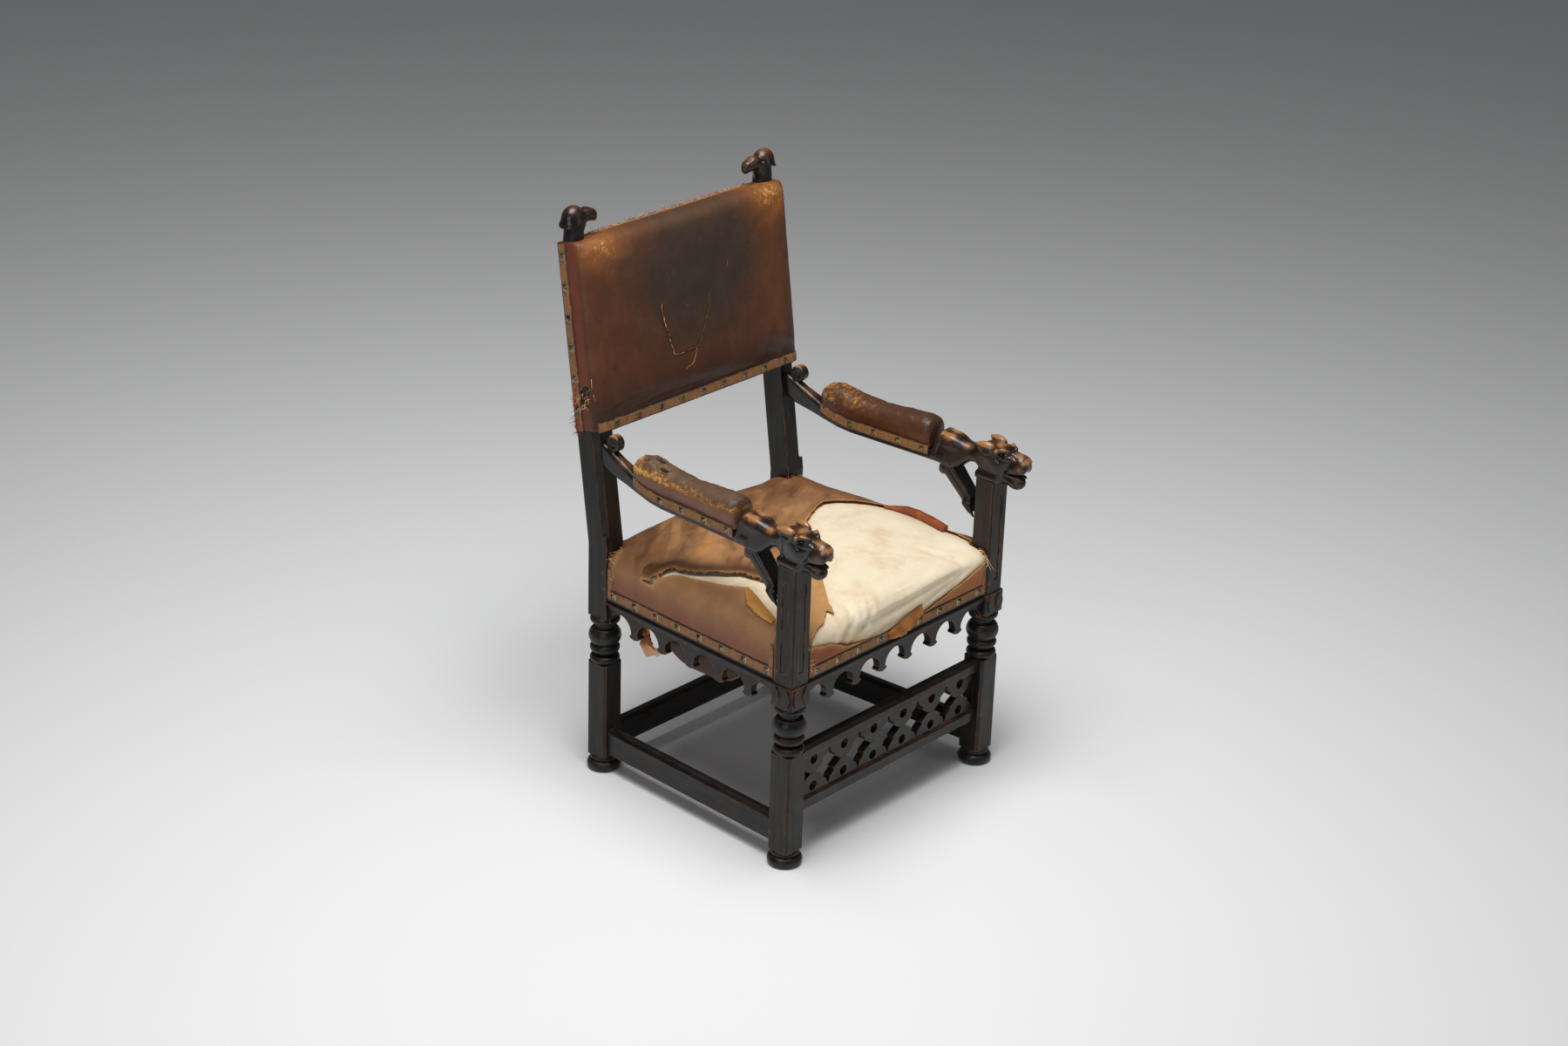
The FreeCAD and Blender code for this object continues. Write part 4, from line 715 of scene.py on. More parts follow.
# Eagle heads on the rear posts
def rim_plane(height, slope):
    """Everything under a plane that rises towards the beak."""
    def measure(x, y, z):
        return (z - height - slope * x) / math.hypot(1.0, slope)

    return measure, np.array([-60.0, -60.0, -20.0]), np.array([90.0, 60.0, 90.0])


def eagle_clay():
    low, high = (-42, -34, -8), (64, 34, 78)
    clay = Clay(low, high, 1.0)
    clay.add(rod((0, 0, -6), (0, 0, 36), 20.0, 17.0), 1.0)
    # hood: a cap with a rim, hollow underneath
    hood = Clay(low, high, 1.0)
    hood.add(oval((-2, 0, 44), (23, 19, 23.5)), 1.0)
    hood.add(oval((-7, 0, 35.5), (22.5, 21, 7.5), 15), 9.0)
    hood.cut(rim_plane(38.0, 0.32), 2.0)
    hood.cut(oval((-6, 0, 33), (20, 18.5, 9), 16), 2.0)
    # face, beak, mouth and eyes
    clay.add(oval((13, 0, 32), (13, 12.5, 15)), 8.0)
    clay.add(rod((8, 0, 43), (29, 0, 45), 13.5, 12.2), 6.0)
    clay.add(rod((29, 0, 45), (43, 0, 41), 12.2, 10.0), 6.0)
    clay.add(rod((42, 0, 41), (49.5, 0, 34), 10.0, 6.2), 7.0)
    clay.cut(paired(rod((40, 10.4, 34), (27, 14.0, 38.5), 1.0, 1.0)), 1.5)
    clay.cut(paired(oval((13, 17.5, 44), (5.5, 3.4, 3.8))), 2.0)
    clay.add(paired(oval((12.5, 14.2, 44), (3.8, 2.8, 3.2))), 0.6)
    clay.field = soft_min(clay.field, hood.field, 0.8)
    return clay


eagle_base = from_back([[rear_leg[0], 3.0, back_high]])[0] + [0.0, 3.5, 0.0]
eagle_points, eagle_faces = eagle_clay().skin()
eagle_spots = [((0, 0, 66), 26, 0.62), ((34, 0, 54), 18, 0.62), ((46, 0, 40), 12, 0.66), ((-24, 0, 46), 14, 0.4)]
eagle_wear = polish_of(eagle_points, eagle_faces, eagle_spots)
carved_pair("eagle", eagle_points + eagle_base, eagle_faces, (eagle_wear * 0.55, eagle_wear * 0.8))


# Flat shapes: tears, creases and colours are laid out in a plane
def segment_gap(places, a, b):
    """Distance to the line from a to b, and the share of it at the nearest point."""
    way = b - a
    share = np.clip(((places - a) @ way) / (way @ way), 0.0, 1.0)
    return np.linalg.norm(places - a - share[:, None] * way, axis=1), share


def shape_gap(places, outline):
    """Distance to a closed outline, negative inside it."""
    outline = np.array(outline, float)
    best = np.full(len(places), np.inf)
    inside = np.zeros(len(places), bool)
    for a, b in zip(outline, np.roll(outline, -1, 0)):
        best = np.minimum(best, segment_gap(places, a, b)[0])
        if a[1] != b[1]:
            crossing = a[0] + (places[:, 1] - a[1]) / (b[1] - a[1]) * (b[0] - a[0])
            inside ^= ((a[1] > places[:, 1]) != (b[1] > places[:, 1])) & (places[:, 0] < crossing)
    return np.where(inside, -best, best)


def line_gap(places, line):
    """Distance to an open line, and the share of the line at the nearest point."""
    line = np.array(line, float)
    lengths = np.linalg.norm(np.diff(line, axis=0), axis=1)
    starts = np.concatenate([[0.0], np.cumsum(lengths)])
    best = np.full(len(places), np.inf)
    along = np.zeros(len(places))
    for i, (a, b) in enumerate(zip(line[:-1], line[1:])):
        gap, share = segment_gap(places, a, b)
        nearer = gap < best
        best = np.where(nearer, gap, best)
        along = np.where(nearer, (starts[i] + share * lengths[i]) / starts[-1], along)
    return best, along


def crease(places, line, width):
    """A fold that fades at both ends: a groove of depth 1 with low rims."""
    gap, along = line_gap(places, line)
    ends = ease(along, 0.0, 0.2) * ease(along, 1.0, 0.8)
    return ends * (0.55 * bell(gap, 1.9 * width, width) - bell(gap, 0.0, width))


def folded(places, folds):
    """Depths of several folds at places in a plane; each is a line, its width and its depth."""
    return sum(depth * crease(places, line, width) for line, width, depth in folds)


def clipped(points, triangles, keep, extras):
    """The part of a triangle mesh where keep is above zero, cut along the line where it is zero."""
    plus = keep > 0.0
    count = plus[triangles].sum(1)
    # triangles with one corner or two corners kept, turned so that the odd corner comes first
    turned = []
    for number in (1, 2):
        some = triangles[count == number]
        odd = plus[some] if number == 1 else ~plus[some]
        first = odd.argmax(1)
        turned.append(np.stack([some[np.arange(len(some)), (first + k) % 3] for k in range(3)], 1))
    one, two = turned
    cuts = np.sort(np.concatenate([one[:, [0, 1]], one[:, [0, 2]], two[:, [0, 1]], two[:, [0, 2]]]), 1)
    pairs, where = np.unique(cuts, axis=0, return_inverse=True)
    where = where.ravel() + len(points)
    share = keep[pairs[:, 0]] / (keep[pairs[:, 0]] - keep[pairs[:, 1]])
    a1, a2, b1, b2 = np.split(where, np.cumsum([len(one), len(one), len(two)]))
    faces = np.concatenate([triangles[count == 3], np.stack([one[:, 0], a1, a2], 1),
                            np.stack([two[:, 1], two[:, 2], b2], 1), np.stack([two[:, 1], b2, b1], 1)])
    used = np.unique(faces)
    number = np.full(len(points) + len(pairs), -1)
    number[used] = np.arange(len(used))
    results = []
    for values in [points] + list(extras):
        values = np.asarray(values, float)
        part = share.reshape((-1,) + (1,) * (values.ndim - 1))
        cut = values[pairs[:, 0]] + part * (values[pairs[:, 1]] - values[pairs[:, 0]])
        results.append(np.concatenate([values, cut])[used])
    return results[0], number[faces], results[1:]


def triangles_of(quads):
    return np.concatenate([quads[:, [0, 1, 2]], quads[:, [0, 2, 3]]])


def tint(red, green, blue):
    """A colour as a screen shows it, from 0 to 255, in linear light."""
    parts = np.array([red, green, blue]) / 255.0
    return np.where(parts <= 0.04045, parts / 12.92, ((parts + 0.055) / 1.055) ** 2.4)


def painted(base, *layers):
    """Colours at each point, from one base colour: each layer is a share from 0 to 1 and a colour."""
    colour = np.array(base, float)
    for share, over in layers:
        colour = colour + np.clip(share, 0.0, 1.0)[:, None] * (np.asarray(over) - colour)
    return colour


# Soft materials
def worn_leather():
    look = Look("worn_leather")
    cloud = look.noise(46.0, 6.0, roughness=0.6)
    fine = look.noise(1.7, 8.0, (1, 0.6, 1), roughness=0.72)
    flecks = look.noise(0.8, 5.0, roughness=0.7)
    grain = look.cells(0.9)
    colour = look.times(look.paint("paint"), look.span(cloud, 0.28, 0.72, 0.88, 1.12))
    colour = look.times(colour, look.span(fine, 0.3, 0.7, 0.9, 1.1))
    scuff = look.total(look.mask("scuff"), look.span(fine, 0.3, 0.7, -0.34, 0.34))
    scuff = look.total(scuff, look.span(look.noise(9.0, 5.0, roughness=0.65), 0.3, 0.7, -0.3, 0.3))
    rubbed = look.span(scuff, 0.1, 0.6, 0.0, 0.55)
    raw = look.span(scuff, 0.48, 0.66)
    colour = look.mix(rubbed, colour, tint(172, 116, 56))
    suede = look.mix(look.span(flecks, 0.35, 0.65), tint(160, 104, 46), tint(236, 188, 112))
    colour = look.mix(raw, colour, suede)
    nicks = look.span(look.cells(11.0, stretch=(1, 1, 0.4)), 0.07, 0.03)
    nicks = look.product(nicks, look.span(flecks, 0.4, 0.55, 0, 0.5))
    colour = look.mix(nicks, colour, tint(196, 150, 100))
    wander = look.less(look.noise(7.0, 5.0, roughness=0.6), 0.5)
    cracks = look.span(look.math("ABSOLUTE", wander, 0.0), 0.016, 0.005)
    cracks = look.product(cracks, look.span(scuff, 0.3, 0.55))
    colour = look.mix(look.product(cracks, 0.8), colour, tint(50, 30, 18))
    colour = look.times(colour, (1.03, 0.96, 0.86))
    height = look.less(look.product(grain, 0.3), look.product(raw, 0.9))
    height = look.less(look.total(height, look.product(fine, 0.4)), cracks)
    height = look.total(height, look.product(look.noise(12.0, 5.0, (1, 0.45, 1)), 1.8))
    rough = look.total(look.mask("rough"), look.product(raw, 0.3))
    return look.finish(Base_Color=colour, Roughness=rough, Normal=look.bump(height, 0.24), Specular_IOR_Level=0.32)


def muslin_cloth():
    look = Look("muslin")
    thread = look.total(look.noise(0.9, 3.0, (1, 0.25, 1)), look.noise(0.9, 3.0, (0.25, 1, 1)))
    # stains, with the soil mask, which also carries painted shade
    stain = look.total(look.span(look.noise(75.0, 6.0, roughness=0.62), 0.44, 0.76), look.mask("soil_and_shade"))
    colour = look.mix(look.noise(28.0, 4.0), tint(234, 216, 184), tint(246, 232, 204))
    colour = look.times(colour, look.span(thread, 0.8, 1.2, 0.95, 1.03))
    colour = look.mix(look.product(stain, 0.55), colour, tint(198, 164, 116))
    colour = look.mix(look.span(look.mask("soil_and_shade"), 0.7, 1.2), colour, tint(140, 96, 58))
    return look.finish(Base_Color=colour, Roughness=0.88, Normal=look.bump(thread, 0.1), Sheen_Weight=0.1)


def woven_braid():
    look = Look("woven_braid")
    places = look.node("ShaderNodeUVMap", uv_map="weave").outputs["UV"]
    bricks = look.node("ShaderNodeTexBrick", {
        "Vector": places, "Scale": 1.0, "Brick Width": 2.6, "Row Height": 1.7, "Mortar Size": 0.22,
        "Mortar Smooth": 0.6, "Color1": tint(192, 132, 60), "Color2": tint(138, 86, 36), "Mortar": tint(62, 38, 20)})
    parts = look.node("ShaderNodeSeparateXYZ", {0: places})
    edge = look.math("ABSOLUTE", parts.outputs["Y"], 0.0)
    piping = look.span(edge, 7.4, 8.2)
    wear = look.noise(14.0, 6.0)
    colour = look.mix(look.span(wear, 0.42, 0.75, 0.0, 0.6), bricks.outputs["Color"], tint(100, 62, 32))
    colour = look.mix(look.product(piping, look.span(wear, 0.3, 0.5)), colour, tint(38, 30, 24))
    spots = look.product(look.span(look.noise(9.0, 3.0), 0.62, 0.7), look.mask("thread"))
    colour = look.mix(spots, colour, tint(120, 38, 30))
    height = look.less(look.product(look.noise(1.6, 4.0), 0.5), bricks.outputs["Fac"])
    return look.finish(Base_Color=colour, Roughness=0.82, Normal=look.bump(height, 0.5), Sheen_Weight=0.2)


def loose_thread():
    look = Look("loose_thread")
    colour = look.times(look.paint("paint"), look.span(look.noise(1.2, 3.0), 0.3, 0.7, 0.7, 1.25))
    return look.finish(Base_Color=colour, Roughness=0.85, Normal=look.bump(look.noise(0.6, 2.0), 0.2))


def horsehair():
    look = Look("stuffing")
    strands = look.noise(2.0, 7.0, (1, 0.3, 1), roughness=0.7)
    colour = look.mix(strands, tint(48, 34, 22), tint(150, 116, 70))
    return look.finish(Base_Color=colour, Roughness=0.9, Normal=look.bump(strands, 1.2))


def torn_cloth():
    look = Look("bottom_cloth")
    weave = look.noise(1.8, 6.0, roughness=0.7)
    colour = look.times(look.paint("paint"), look.span(look.noise(40.0, 5.0), 0.3, 0.7, 0.65, 1.2))
    colour = look.times(colour, look.span(weave, 0.3, 0.7, 0.8, 1.15))
    return look.finish(Base_Color=colour, Roughness=0.85, Normal=look.bump(weave, 0.3), Sheen_Weight=0.1)


def outer_hide():
    look = Look("outer_cover")
    cloud = look.noise(70.0, 6.0, (1, 1, 0.5), roughness=0.62)
    fine = look.noise(1.6, 7.0, roughness=0.7)
    creases = look.math("ABSOLUTE", look.less(look.noise(34.0, 5.0, (1, 1, 0.4)), 0.5), 0.0)
    colour = look.mix(look.span(cloud, 0.3, 0.7), tint(50, 34, 26), tint(92, 60, 42))
    colour = look.times(colour, look.span(fine, 0.3, 0.7, 0.82, 1.14))
    colour = look.mix(look.span(creases, 0.02, 0.0, 0.0, 0.5), colour, tint(124, 84, 54))
    height = look.total(look.product(fine, 0.5), look.span(creases, 0.0, 0.03))
    return look.finish(Base_Color=colour, Roughness=look.span(cloud, 0.3, 0.7, 0.46, 0.62),
                       Normal=look.bump(height, 0.4), Specular_IOR_Level=0.4)


looks.update({
    "leather": worn_leather(),
    "muslin": muslin_cloth(),
    "braid": woven_braid(),
    "thread": loose_thread(),
    "stuffing": horsehair(),
    "outer_leather": outer_hide(),
    "bottom_cloth": torn_cloth(),
})


# Seat: one field gives the stuffing, the muslin and the leather
no_limit = 99.0
seat_front = node_box("front_seat_rail")[0][1]
seat_rear = node_box("rear_seat_rail")[1][1]
seat_low = node_box("seat_leather")[0][2]
seat_crown = node_box("seat_padding")[1][2]
seat_floor = node_box("seat_padding")[0][2]
rail_half = 16.0
crown_radius = 1900.0
front_post_half = 24.4
rear_post_half = np.array([22.2, 24.2])
turn_height = 446.0
seat_middle = -15.0
corner_round, roll_round, post_round = 10.0, 26.0, 5.0
bulge_height, bulge_reach = 436.0, 24.0


def seat_sides(x, y):
    """How far a place is outside the rails' outer faces: at its nearer side, at the front and at the rear."""
    side = (-np.abs(x) - side_start[0]) * side_out[0] + (y - side_start[1]) * side_out[1] - rail_half
    return side, seat_front - y, y - seat_rear


def post_gap(x, y):
    """Distance to the nearest post in plan, negative inside it."""
    front = np.maximum(np.abs(np.abs(x) + front_leg[0]), np.abs(y - front_leg[1])) - front_post_half
    rear = np.maximum(np.abs(np.abs(x) + rear_leg[0]) - rear_post_half[0], np.abs(y - rear_leg[1]) - rear_post_half[1])
    return np.minimum(front, rear)


def seat_field(x, y, z, grow, low):
    """Distance to a layer of the seat that stands out by grow and ends at the height low."""
    side, front, rear = seat_sides(x, y)
    edge = soft_max(soft_max(side, front, corner_round), rear, corner_round)
    bulge = 3.6 + 0.4 * ease(np.abs(x), 250.0, 170.0)
    bulge = bulge * bell(z, bulge_height, bulge_reach) * ease(front, -40.0, 0.0)
    corner_fill = 9.0 * ease(np.abs(x), 180.0, 255.0) * ease(np.abs(y - seat_middle), 140.0, 215.0)
    top = z - seat_crown - corner_fill + (x * x + (y - seat_middle) ** 2) / (2.0 * crown_radius)
    field = soft_max(edge - grow - bulge, top - grow, roll_round)
    field = np.maximum(field, low - z)
    return soft_max(field, -post_gap(x, y), post_round)


def seat_skin(grow, low, step):
    clay = Clay((-304, -288, low - 6), (304, 256, seat_crown + 10), step)
    clay.field = seat_field(*clay.places(), grow, low)
    points, faces = clay.skin()
    return relaxed(points, faces, 5), faces


def unrolled(points):
    """Plan places, with the sides of the seat folded out flat below the height where they turn down."""
    side, front, rear = seat_sides(points[:, 0], points[:, 1])
    drop = np.maximum(turn_height - points[:, 2], 0.0)
    which = np.argmax(np.stack([side, front, rear]), 0)
    flat = points[:, :2].copy()
    sign = np.sign(points[:, 0])
    flat[:, 0] += np.where(which == 0, sign * drop * -side_out[0], 0.0)
    flat[:, 1] += np.where(which == 1, -drop, np.where(which == 2, drop, 0.0))
    return flat


stuffing_points, stuffing_faces = seat_skin(-5.0, seat_floor + 0.4, 6.0)
stuffing = piece("seat_stuffing", stuffing_points, stuffing_faces, looks["stuffing"], "stuffing")
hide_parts("seat_padding")

# Outlines of the tears, as seen with the sides of the seat folded out
front_strip = [(-246, -294), (-206, -301), (-146, -322), (-85, -333), (13, -337), (63, -331), (100, -321), (128, -315),
               (166, -307), (200, -300), (227, -291)]
top_tear = [(257, -30), (242, 1), (221, 27), (194, 48), (167, 57), (136, 48), (97, 29), (61, 8), (20, -40),
            (-40, -95), (-78, -128), (-80, -152), (-138, -219), (-162, -255), (-164, -238), (-197, -261),
            (-223, -269), (-246, -276)]
right_roll = [(262, -187), (273, -125), (287, -70)]
main_hole = top_tear + front_strip + [(246, -286), (250, -232)] + right_roll
left_upper = [(-280, 109), (-287, 80), (-262, 71), (-240, 60), (-236, 30), (-216, -5), (-182, -49), (-170, -102),
              (-166, -126), (-190, -190), (-226, -228)]
left_lower = [(-248, -236), (-258, -226), (-263, -210), (-206, -87), (-203, -98), (-224, -57), (-244, 0), (-248, 36),
              (-266, 66)]
left_hole = left_upper + left_lower


def seat_relief(flat):
    """Soft folds of the leather: pulls from the posts and hollows left by sitters."""
    pulls = ((((-262, 190), (-180, 120), (-60, 60)), 14, 2.2), (((-200, 215), (-60, 150)), 12, 1.8),
             (((230, 190), (150, 120), (90, 90)), 12, 1.8), (((-250, 120), (-150, 70)), 16, 2.4))
    return 1.6 * ripple(flat * [1.0, 0.6], 90.0, 2.0) + folded(flat, pulls)


muslin_hem = 384.0
muslin_points, muslin_faces = seat_skin(1.2, muslin_hem - 4.0, 3.0)
muslin_faces = muslin_faces[muslin_points[muslin_faces][:, :, 2].min(1) > muslin_hem]
muslin_flat = unrolled(muslin_points)
muslin_folds = (
    (((-170, -304), (-60, -298), (60, -291), (170, -285), (222, -282)), 7.0, 3.2),
    (((-110, -332), (-30, -318), (60, -306), (150, -294)), 4.5, 2.8),
    (((-30, -326), (60, -312), (140, -298), (200, -288)), 3.6, 2.6),
    (((40, -324), (110, -312), (180, -296)), 3.2, 2.4),
    (((-190, -330), (-140, -290), (-110, -230)), 7.0, 2.4),
    (((-160, -334), (-96, -296), (-60, -240)), 6.0, 2.2),
    (((-30, -270), (60, -262), (150, -250)), 9.0, 1.6),
    (((205, -300), (170, -240), (150, -170)), 9.0, 1.6))
muslin_move = folded(muslin_flat, muslin_folds) + 0.6 * ripple(muslin_flat, 26.0, 5.0)
covered = np.minimum(shape_gap(muslin_flat, main_hole), shape_gap(muslin_flat, left_hole))
muslin_move = np.where(covered > 0.0, np.minimum(muslin_move, 0.0) - 1.2 * ease(covered, 0, 10), muslin_move)

# The muslin's front hangs clear of the rail's face, and its rolled edge stays full
front_start, front_limit, roll_height = -268.0, -274.0, 443.5
on_front = muslin_points[:, 1] < front_start
muslin_move += on_front * 2.4 * bell(muslin_points[:, 2], 414.0, 15.0) * ease(-covered, 0.0, 8.0)
front_room = np.where(on_front, np.maximum(front_limit - muslin_points[:, 1], 0.0), no_limit)
muslin_move = np.maximum(muslin_move, -front_room)
held_edge = bell(muslin_points[:, 2], roll_height, 5.0)
muslin_move = muslin_move * (1.0 - held_edge) + held_edge * np.maximum(muslin_move, 0.0)
muslin_points = muslin_points + muslin_move[:, None] * normals_of(muslin_points, muslin_faces)
# Stains and painted shade: the muslin is darker next to the leather's edges, low on its front drop and beside the
# posts, and along one streak at the front left
soil_and_shade = 0.55 * fade(np.abs(covered), 9.0) + 0.5 * ease(muslin_points[:, 2], 425.0, 396.0)
soil_and_shade += 0.35 * bell(line_gap(muslin_flat, ((-165, -345), (-150, -290), (-128, -220)))[0], 0.0, 9.0)
soil_and_shade = np.where(post_gap(*muslin_points[:, :2].T) < 10, soil_and_shade + 0.3, soil_and_shade)
seat_lining = piece("seat_muslin_cover", muslin_points, muslin_faces, looks["muslin"], "muslin", {"soil_and_shade": soil_and_shade})
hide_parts("seat_muslin")


def thickened(item, thickness_mm, outward):
    """Give a skin its thickness: 1 adds it outside, -1 inside and 0 on both sides."""
    skin = item.modifiers.new("thickness", "SOLIDIFY")
    skin.thickness = thickness_mm * MM
    skin.offset = outward


def leather_piece(name, points, faces, paint, scuff, rough):
    """A piece of worn leather; scuff and rough are one value or a value for each point."""
    masks = {"paint": paint, "scuff": np.full(len(points), scuff), "rough": np.full(len(points), rough)}
    return piece(name, points, faces, looks["leather"], "leather", masks)


skin_points, skin_quads = seat_skin(2.6, seat_low - 10.0, 3.0)
skin_faces = triangles_of(skin_quads)
skin_flat = unrolled(skin_points)
flat_x, flat_y = skin_flat.T
rag = 2.2 * ripple(skin_flat, 34.0, 7.0) + 1.0 * ripple(skin_flat, 12.0, 6.0)
tear_gap = np.minimum(shape_gap(skin_flat, main_hole), shape_gap(skin_flat, left_hole)) + rag
lift = 2.2 * fade(tear_gap, 6.0)
upper_gap = line_gap(skin_flat, left_upper)[0]
on_top = ease(skin_points[:, 2], turn_height, turn_height + 6.0)
inner_side = shape_gap(skin_flat, left_upper + [(0, 0), (-100, 150)]) < 0
lift += np.where(inner_side, 6.5 * bell(upper_gap, 4, 24.0), 0.0) * on_top
lift += 3.0 * fade(line_gap(skin_flat, top_tear[:9])[0], 14.0)
lift += on_top * seat_relief(skin_flat) + 0.5 * ripple(skin_flat, 22.0, 9.0)

# The leather is pressed to the rails at its foot and beside the posts
beside_post = ease(post_gap(*skin_points[:, :2].T), 13.0, 9.0) * ease(skin_points[:, 2], 440.0, 432.0)
pressed = np.maximum(ease(skin_points[:, 2], 395.0, 388.0), beside_post)
lift = lift * (1.0 - pressed) - 2.6 * pressed
skin_points = skin_points + lift[:, None] * normals_of(skin_points, skin_faces)

# Colours of the seat leather, by the part of the seat, with painted shade beside the posts, at its foot and along the
# lifted lip of the left tear
left_share = ease(flat_x, -255.0, -285.0)
rear_share = ease(flat_y, 60.0, 200.0)
right_share = ease(flat_x, 180.0, 260.0)
front_share = ease(flat_y, -278.0, -292.0)
band_drop = ease(skin_points[:, 2], 448.0, 392.0)
streaks = ripple(skin_flat @ np.array([[0.5, 0.87], [-0.87, 0.5]]) * [1.0, 0.25], 26, 4)
band_top = ease(flat_x, -200.0, -225.0) * ease(flat_y, 110.0, 60.0) * (1.0 - inner_side)
flap_share = ease(flat_y, -70.0, -120.0) * ease(np.abs(flat_x + 150), 105.0, 80.0)
gold = ripple(skin_flat @ np.array([[0.7, 0.7], [-0.7, 0.7]]) * [1.0, 0.4], 60.0, 15.0)
on_upper = on_top * inner_side * ease(flat_x, -40.0, -120.0)
leather_paint = painted(
    tint(146, 108, 74),
    (rear_share * 0.8, tint(118, 80, 52)),
    (ease(streaks, 0.1, 0.6) * 0.65 * (1.0 - 0.9 * band_top), tint(88, 58, 38)),
    (band_top * (1.0 - left_share) * 0.9, tint(162, 122, 90)),
    (ease(streaks, -0.1, -0.5) * 0.45, tint(176, 134, 90)),
    (right_share * 0.7, tint(134, 92, 60)),
    (left_share * 0.85, tint(150, 112, 84)),
    (left_share * band_drop * 0.95, tint(124, 78, 56)),
    (front_share, tint(138, 78, 38)),
    (front_share * ease(flat_x, 60.0, 160.0) * 0.7, tint(170, 114, 60)),
    (fade(tear_gap - 1.5, 2.5) * 0.8, tint(196, 146, 86)),
    # painted shade: darker beside the posts and darkest at the leather's foot under the braid
    (ease(post_gap(*skin_points[:, :2].T), 9, 2) * 0.5, tint(80, 54, 38)),
    (ease(skin_points[:, 2], seat_low + 3.0, seat_low), tint(44, 32, 25)),
    (on_upper * ease(gold, 0.0, 0.5) * 0.7, tint(186, 132, 74)),
    # painted shade: a dark band on the upper leather behind the lifted lip of the left tear
    (on_upper * bell(upper_gap, 18.0, 24.0) * 0.9, tint(84, 55, 36)),
    (flap_share * (1 - front_share), tint(180, 138, 88)))
leather_scuff = 0.4 * fade(tear_gap, 4.0) - 0.2 + 0.1 * left_share * ease(band_drop, 0.35, 0.0)
keep = np.minimum(tear_gap, skin_points[:, 2] - seat_low + 5.4)
cover_points, cover_faces, cover_masks = clipped(
    skin_points, skin_faces, keep, (leather_paint, leather_scuff, 0.62 - 0.1 * left_share))
seat_cover = leather_piece("seat_leather_cover", cover_points, cover_faces, *cover_masks)
thickened(seat_cover, 1.6, 1.0)
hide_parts("seat_leather")


# Back: stuffing and leather
back_middle = (back_low + back_high) / 2.0
back_half = 272.5
belly_depth = 9.0
top_round, foot_round = 24.0, 7.0


def back_field(x, y, z, grow):
    """Distance to a layer of the back that stands out by grow, in the back's own places."""
    rise = (z - back_middle) / (back_high - back_low) * 2.0
    spread = x / back_half
    belly = belly_depth * (1.0 - spread ** 4) * np.clip(1.0 - rise ** 4, 0.0, 1.0)
    hollow = 1.0 + 1.6 * (1.0 - rise ** 2)
    edge_roll = np.interp(y, [-32.0, -20.0], [26.0, 3.0])
    belly = belly * ease(z, 238.0, 268.0) + np.interp(z, [240.0, 275.0], [33.4, 36.5])
    face = soft_max(-belly - grow - y, z - back_high - grow - 3.2 + 0.8 * (1.0 - spread ** 2), top_round)
    field = soft_max(np.abs(x) - back_half - grow - 0.6 + 0.4 * hollow, face, edge_roll)
    return soft_max(field, back_low - grow * 0.2 - z, foot_round)


def back_skin(grow, rear, step):
    clay = Clay((-282, -52, back_low - 8), (282, rear + 8, back_high + 10), step)
    grid = clay.places()
    clay.field = np.maximum(back_field(*grid, grow), grid[1] - rear)
    points, faces = clay.skin()
    return relaxed(points, faces, 4), faces


pad_points, pad_faces = back_skin(-1.2, -27.0, 5.0)
back_stuffing = piece("back_stuffing", from_back(pad_points), pad_faces, looks["stuffing"], "stuffing")
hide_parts("back_padding")

hide, hide_quads = back_skin(1.4, 22.8, 3.0)
inner_face = (hide[hide_quads][:, :, 1].min(1) < 20.5) & (hide[hide_quads][:, :, 2].mean(1) > back_low + 0.3)
hide_faces = triangles_of(hide_quads[inner_face])
front_face = ease(hide[:, 1], -12.0, -26.0)
hide_flat = hide[:, [0, 2]]
hide_x, hide_rise = hide_flat.T

# The tear in the back: its patch stands proud and what lies round it is sunk
torn_line = [(-99, 422), (-96, 389), (-82, 342), (-76, 321), (-59, 318), (-40, 321), (-13, 321), (-1, 334), (9, 357),
             (25, 391)]
torn_tail = [(-17, 319), (-26, 295), (-49, 285)]
torn_gap = line_gap(hide_flat, torn_line)[0]
patch_inside = shape_gap(hide_flat, torn_line) < 0
torn_move = np.where(patch_inside, 1.4, -0.9) * bell(torn_gap, 0.0, 5.0) * front_face
hide_folds = (
    (((-262, 240), (-200, 262), (-120, 268)), 9, 1.6), (((262, 240), (210, 270), (150, 282)), 9, 1.4),
    (((-258, 552), (-214, 516), (-150, 500)), 11, 1.6), (((256, 552), (214, 520), (160, 510)), 10, 1.5),
    (((-240, 236), (-120, 244), (60, 242), (220, 238)), 6, 1.2))
hide_move = 0.9 * ripple(hide_flat, 55.0, 11.0) + 0.35 * ripple(hide_flat, 14.0, 12.0) + torn_move
hide_move = hide_move + front_face * folded(hide_flat, hide_folds)
hide = hide + hide_move[:, None] * normals_of(hide, hide_faces)

# Colours of the back leather: dark in the middle, tan at the right, along the top and in its corners
mottle = ripple(hide_flat, 70.0, 13.0)
fine_mottle = ripple(hide_flat * [1.0, 0.55], 24.0, 14.0)
centre_gap = np.hypot((hide_x - 10.0) / 205.0, (hide_rise - 470.0) / 165.0) + 0.2 * mottle
dark_share = ease(centre_gap, 1.2, 0.45)
low_share = ease(hide_rise, 330.0, 240.0)
right_glow = bell(hide_x, 205.0 + 22.0 * mottle, 34.0) * ease(hide_rise, 250.0, 360.0)
top_edge = ease(hide_rise, 538.0, 566.0)
corner_glow = bell(np.hypot((np.abs(hide_x) - 228.0) / 62.0, (hide_rise - 552.0) / 34.0), 0.0, 1.0)
side_face = (1.0 - front_face) * ease(np.abs(hide[:, 0]), 262.0, 270.0)
rear_edge = ease(hide[:, 1], -8.0, 18.0)
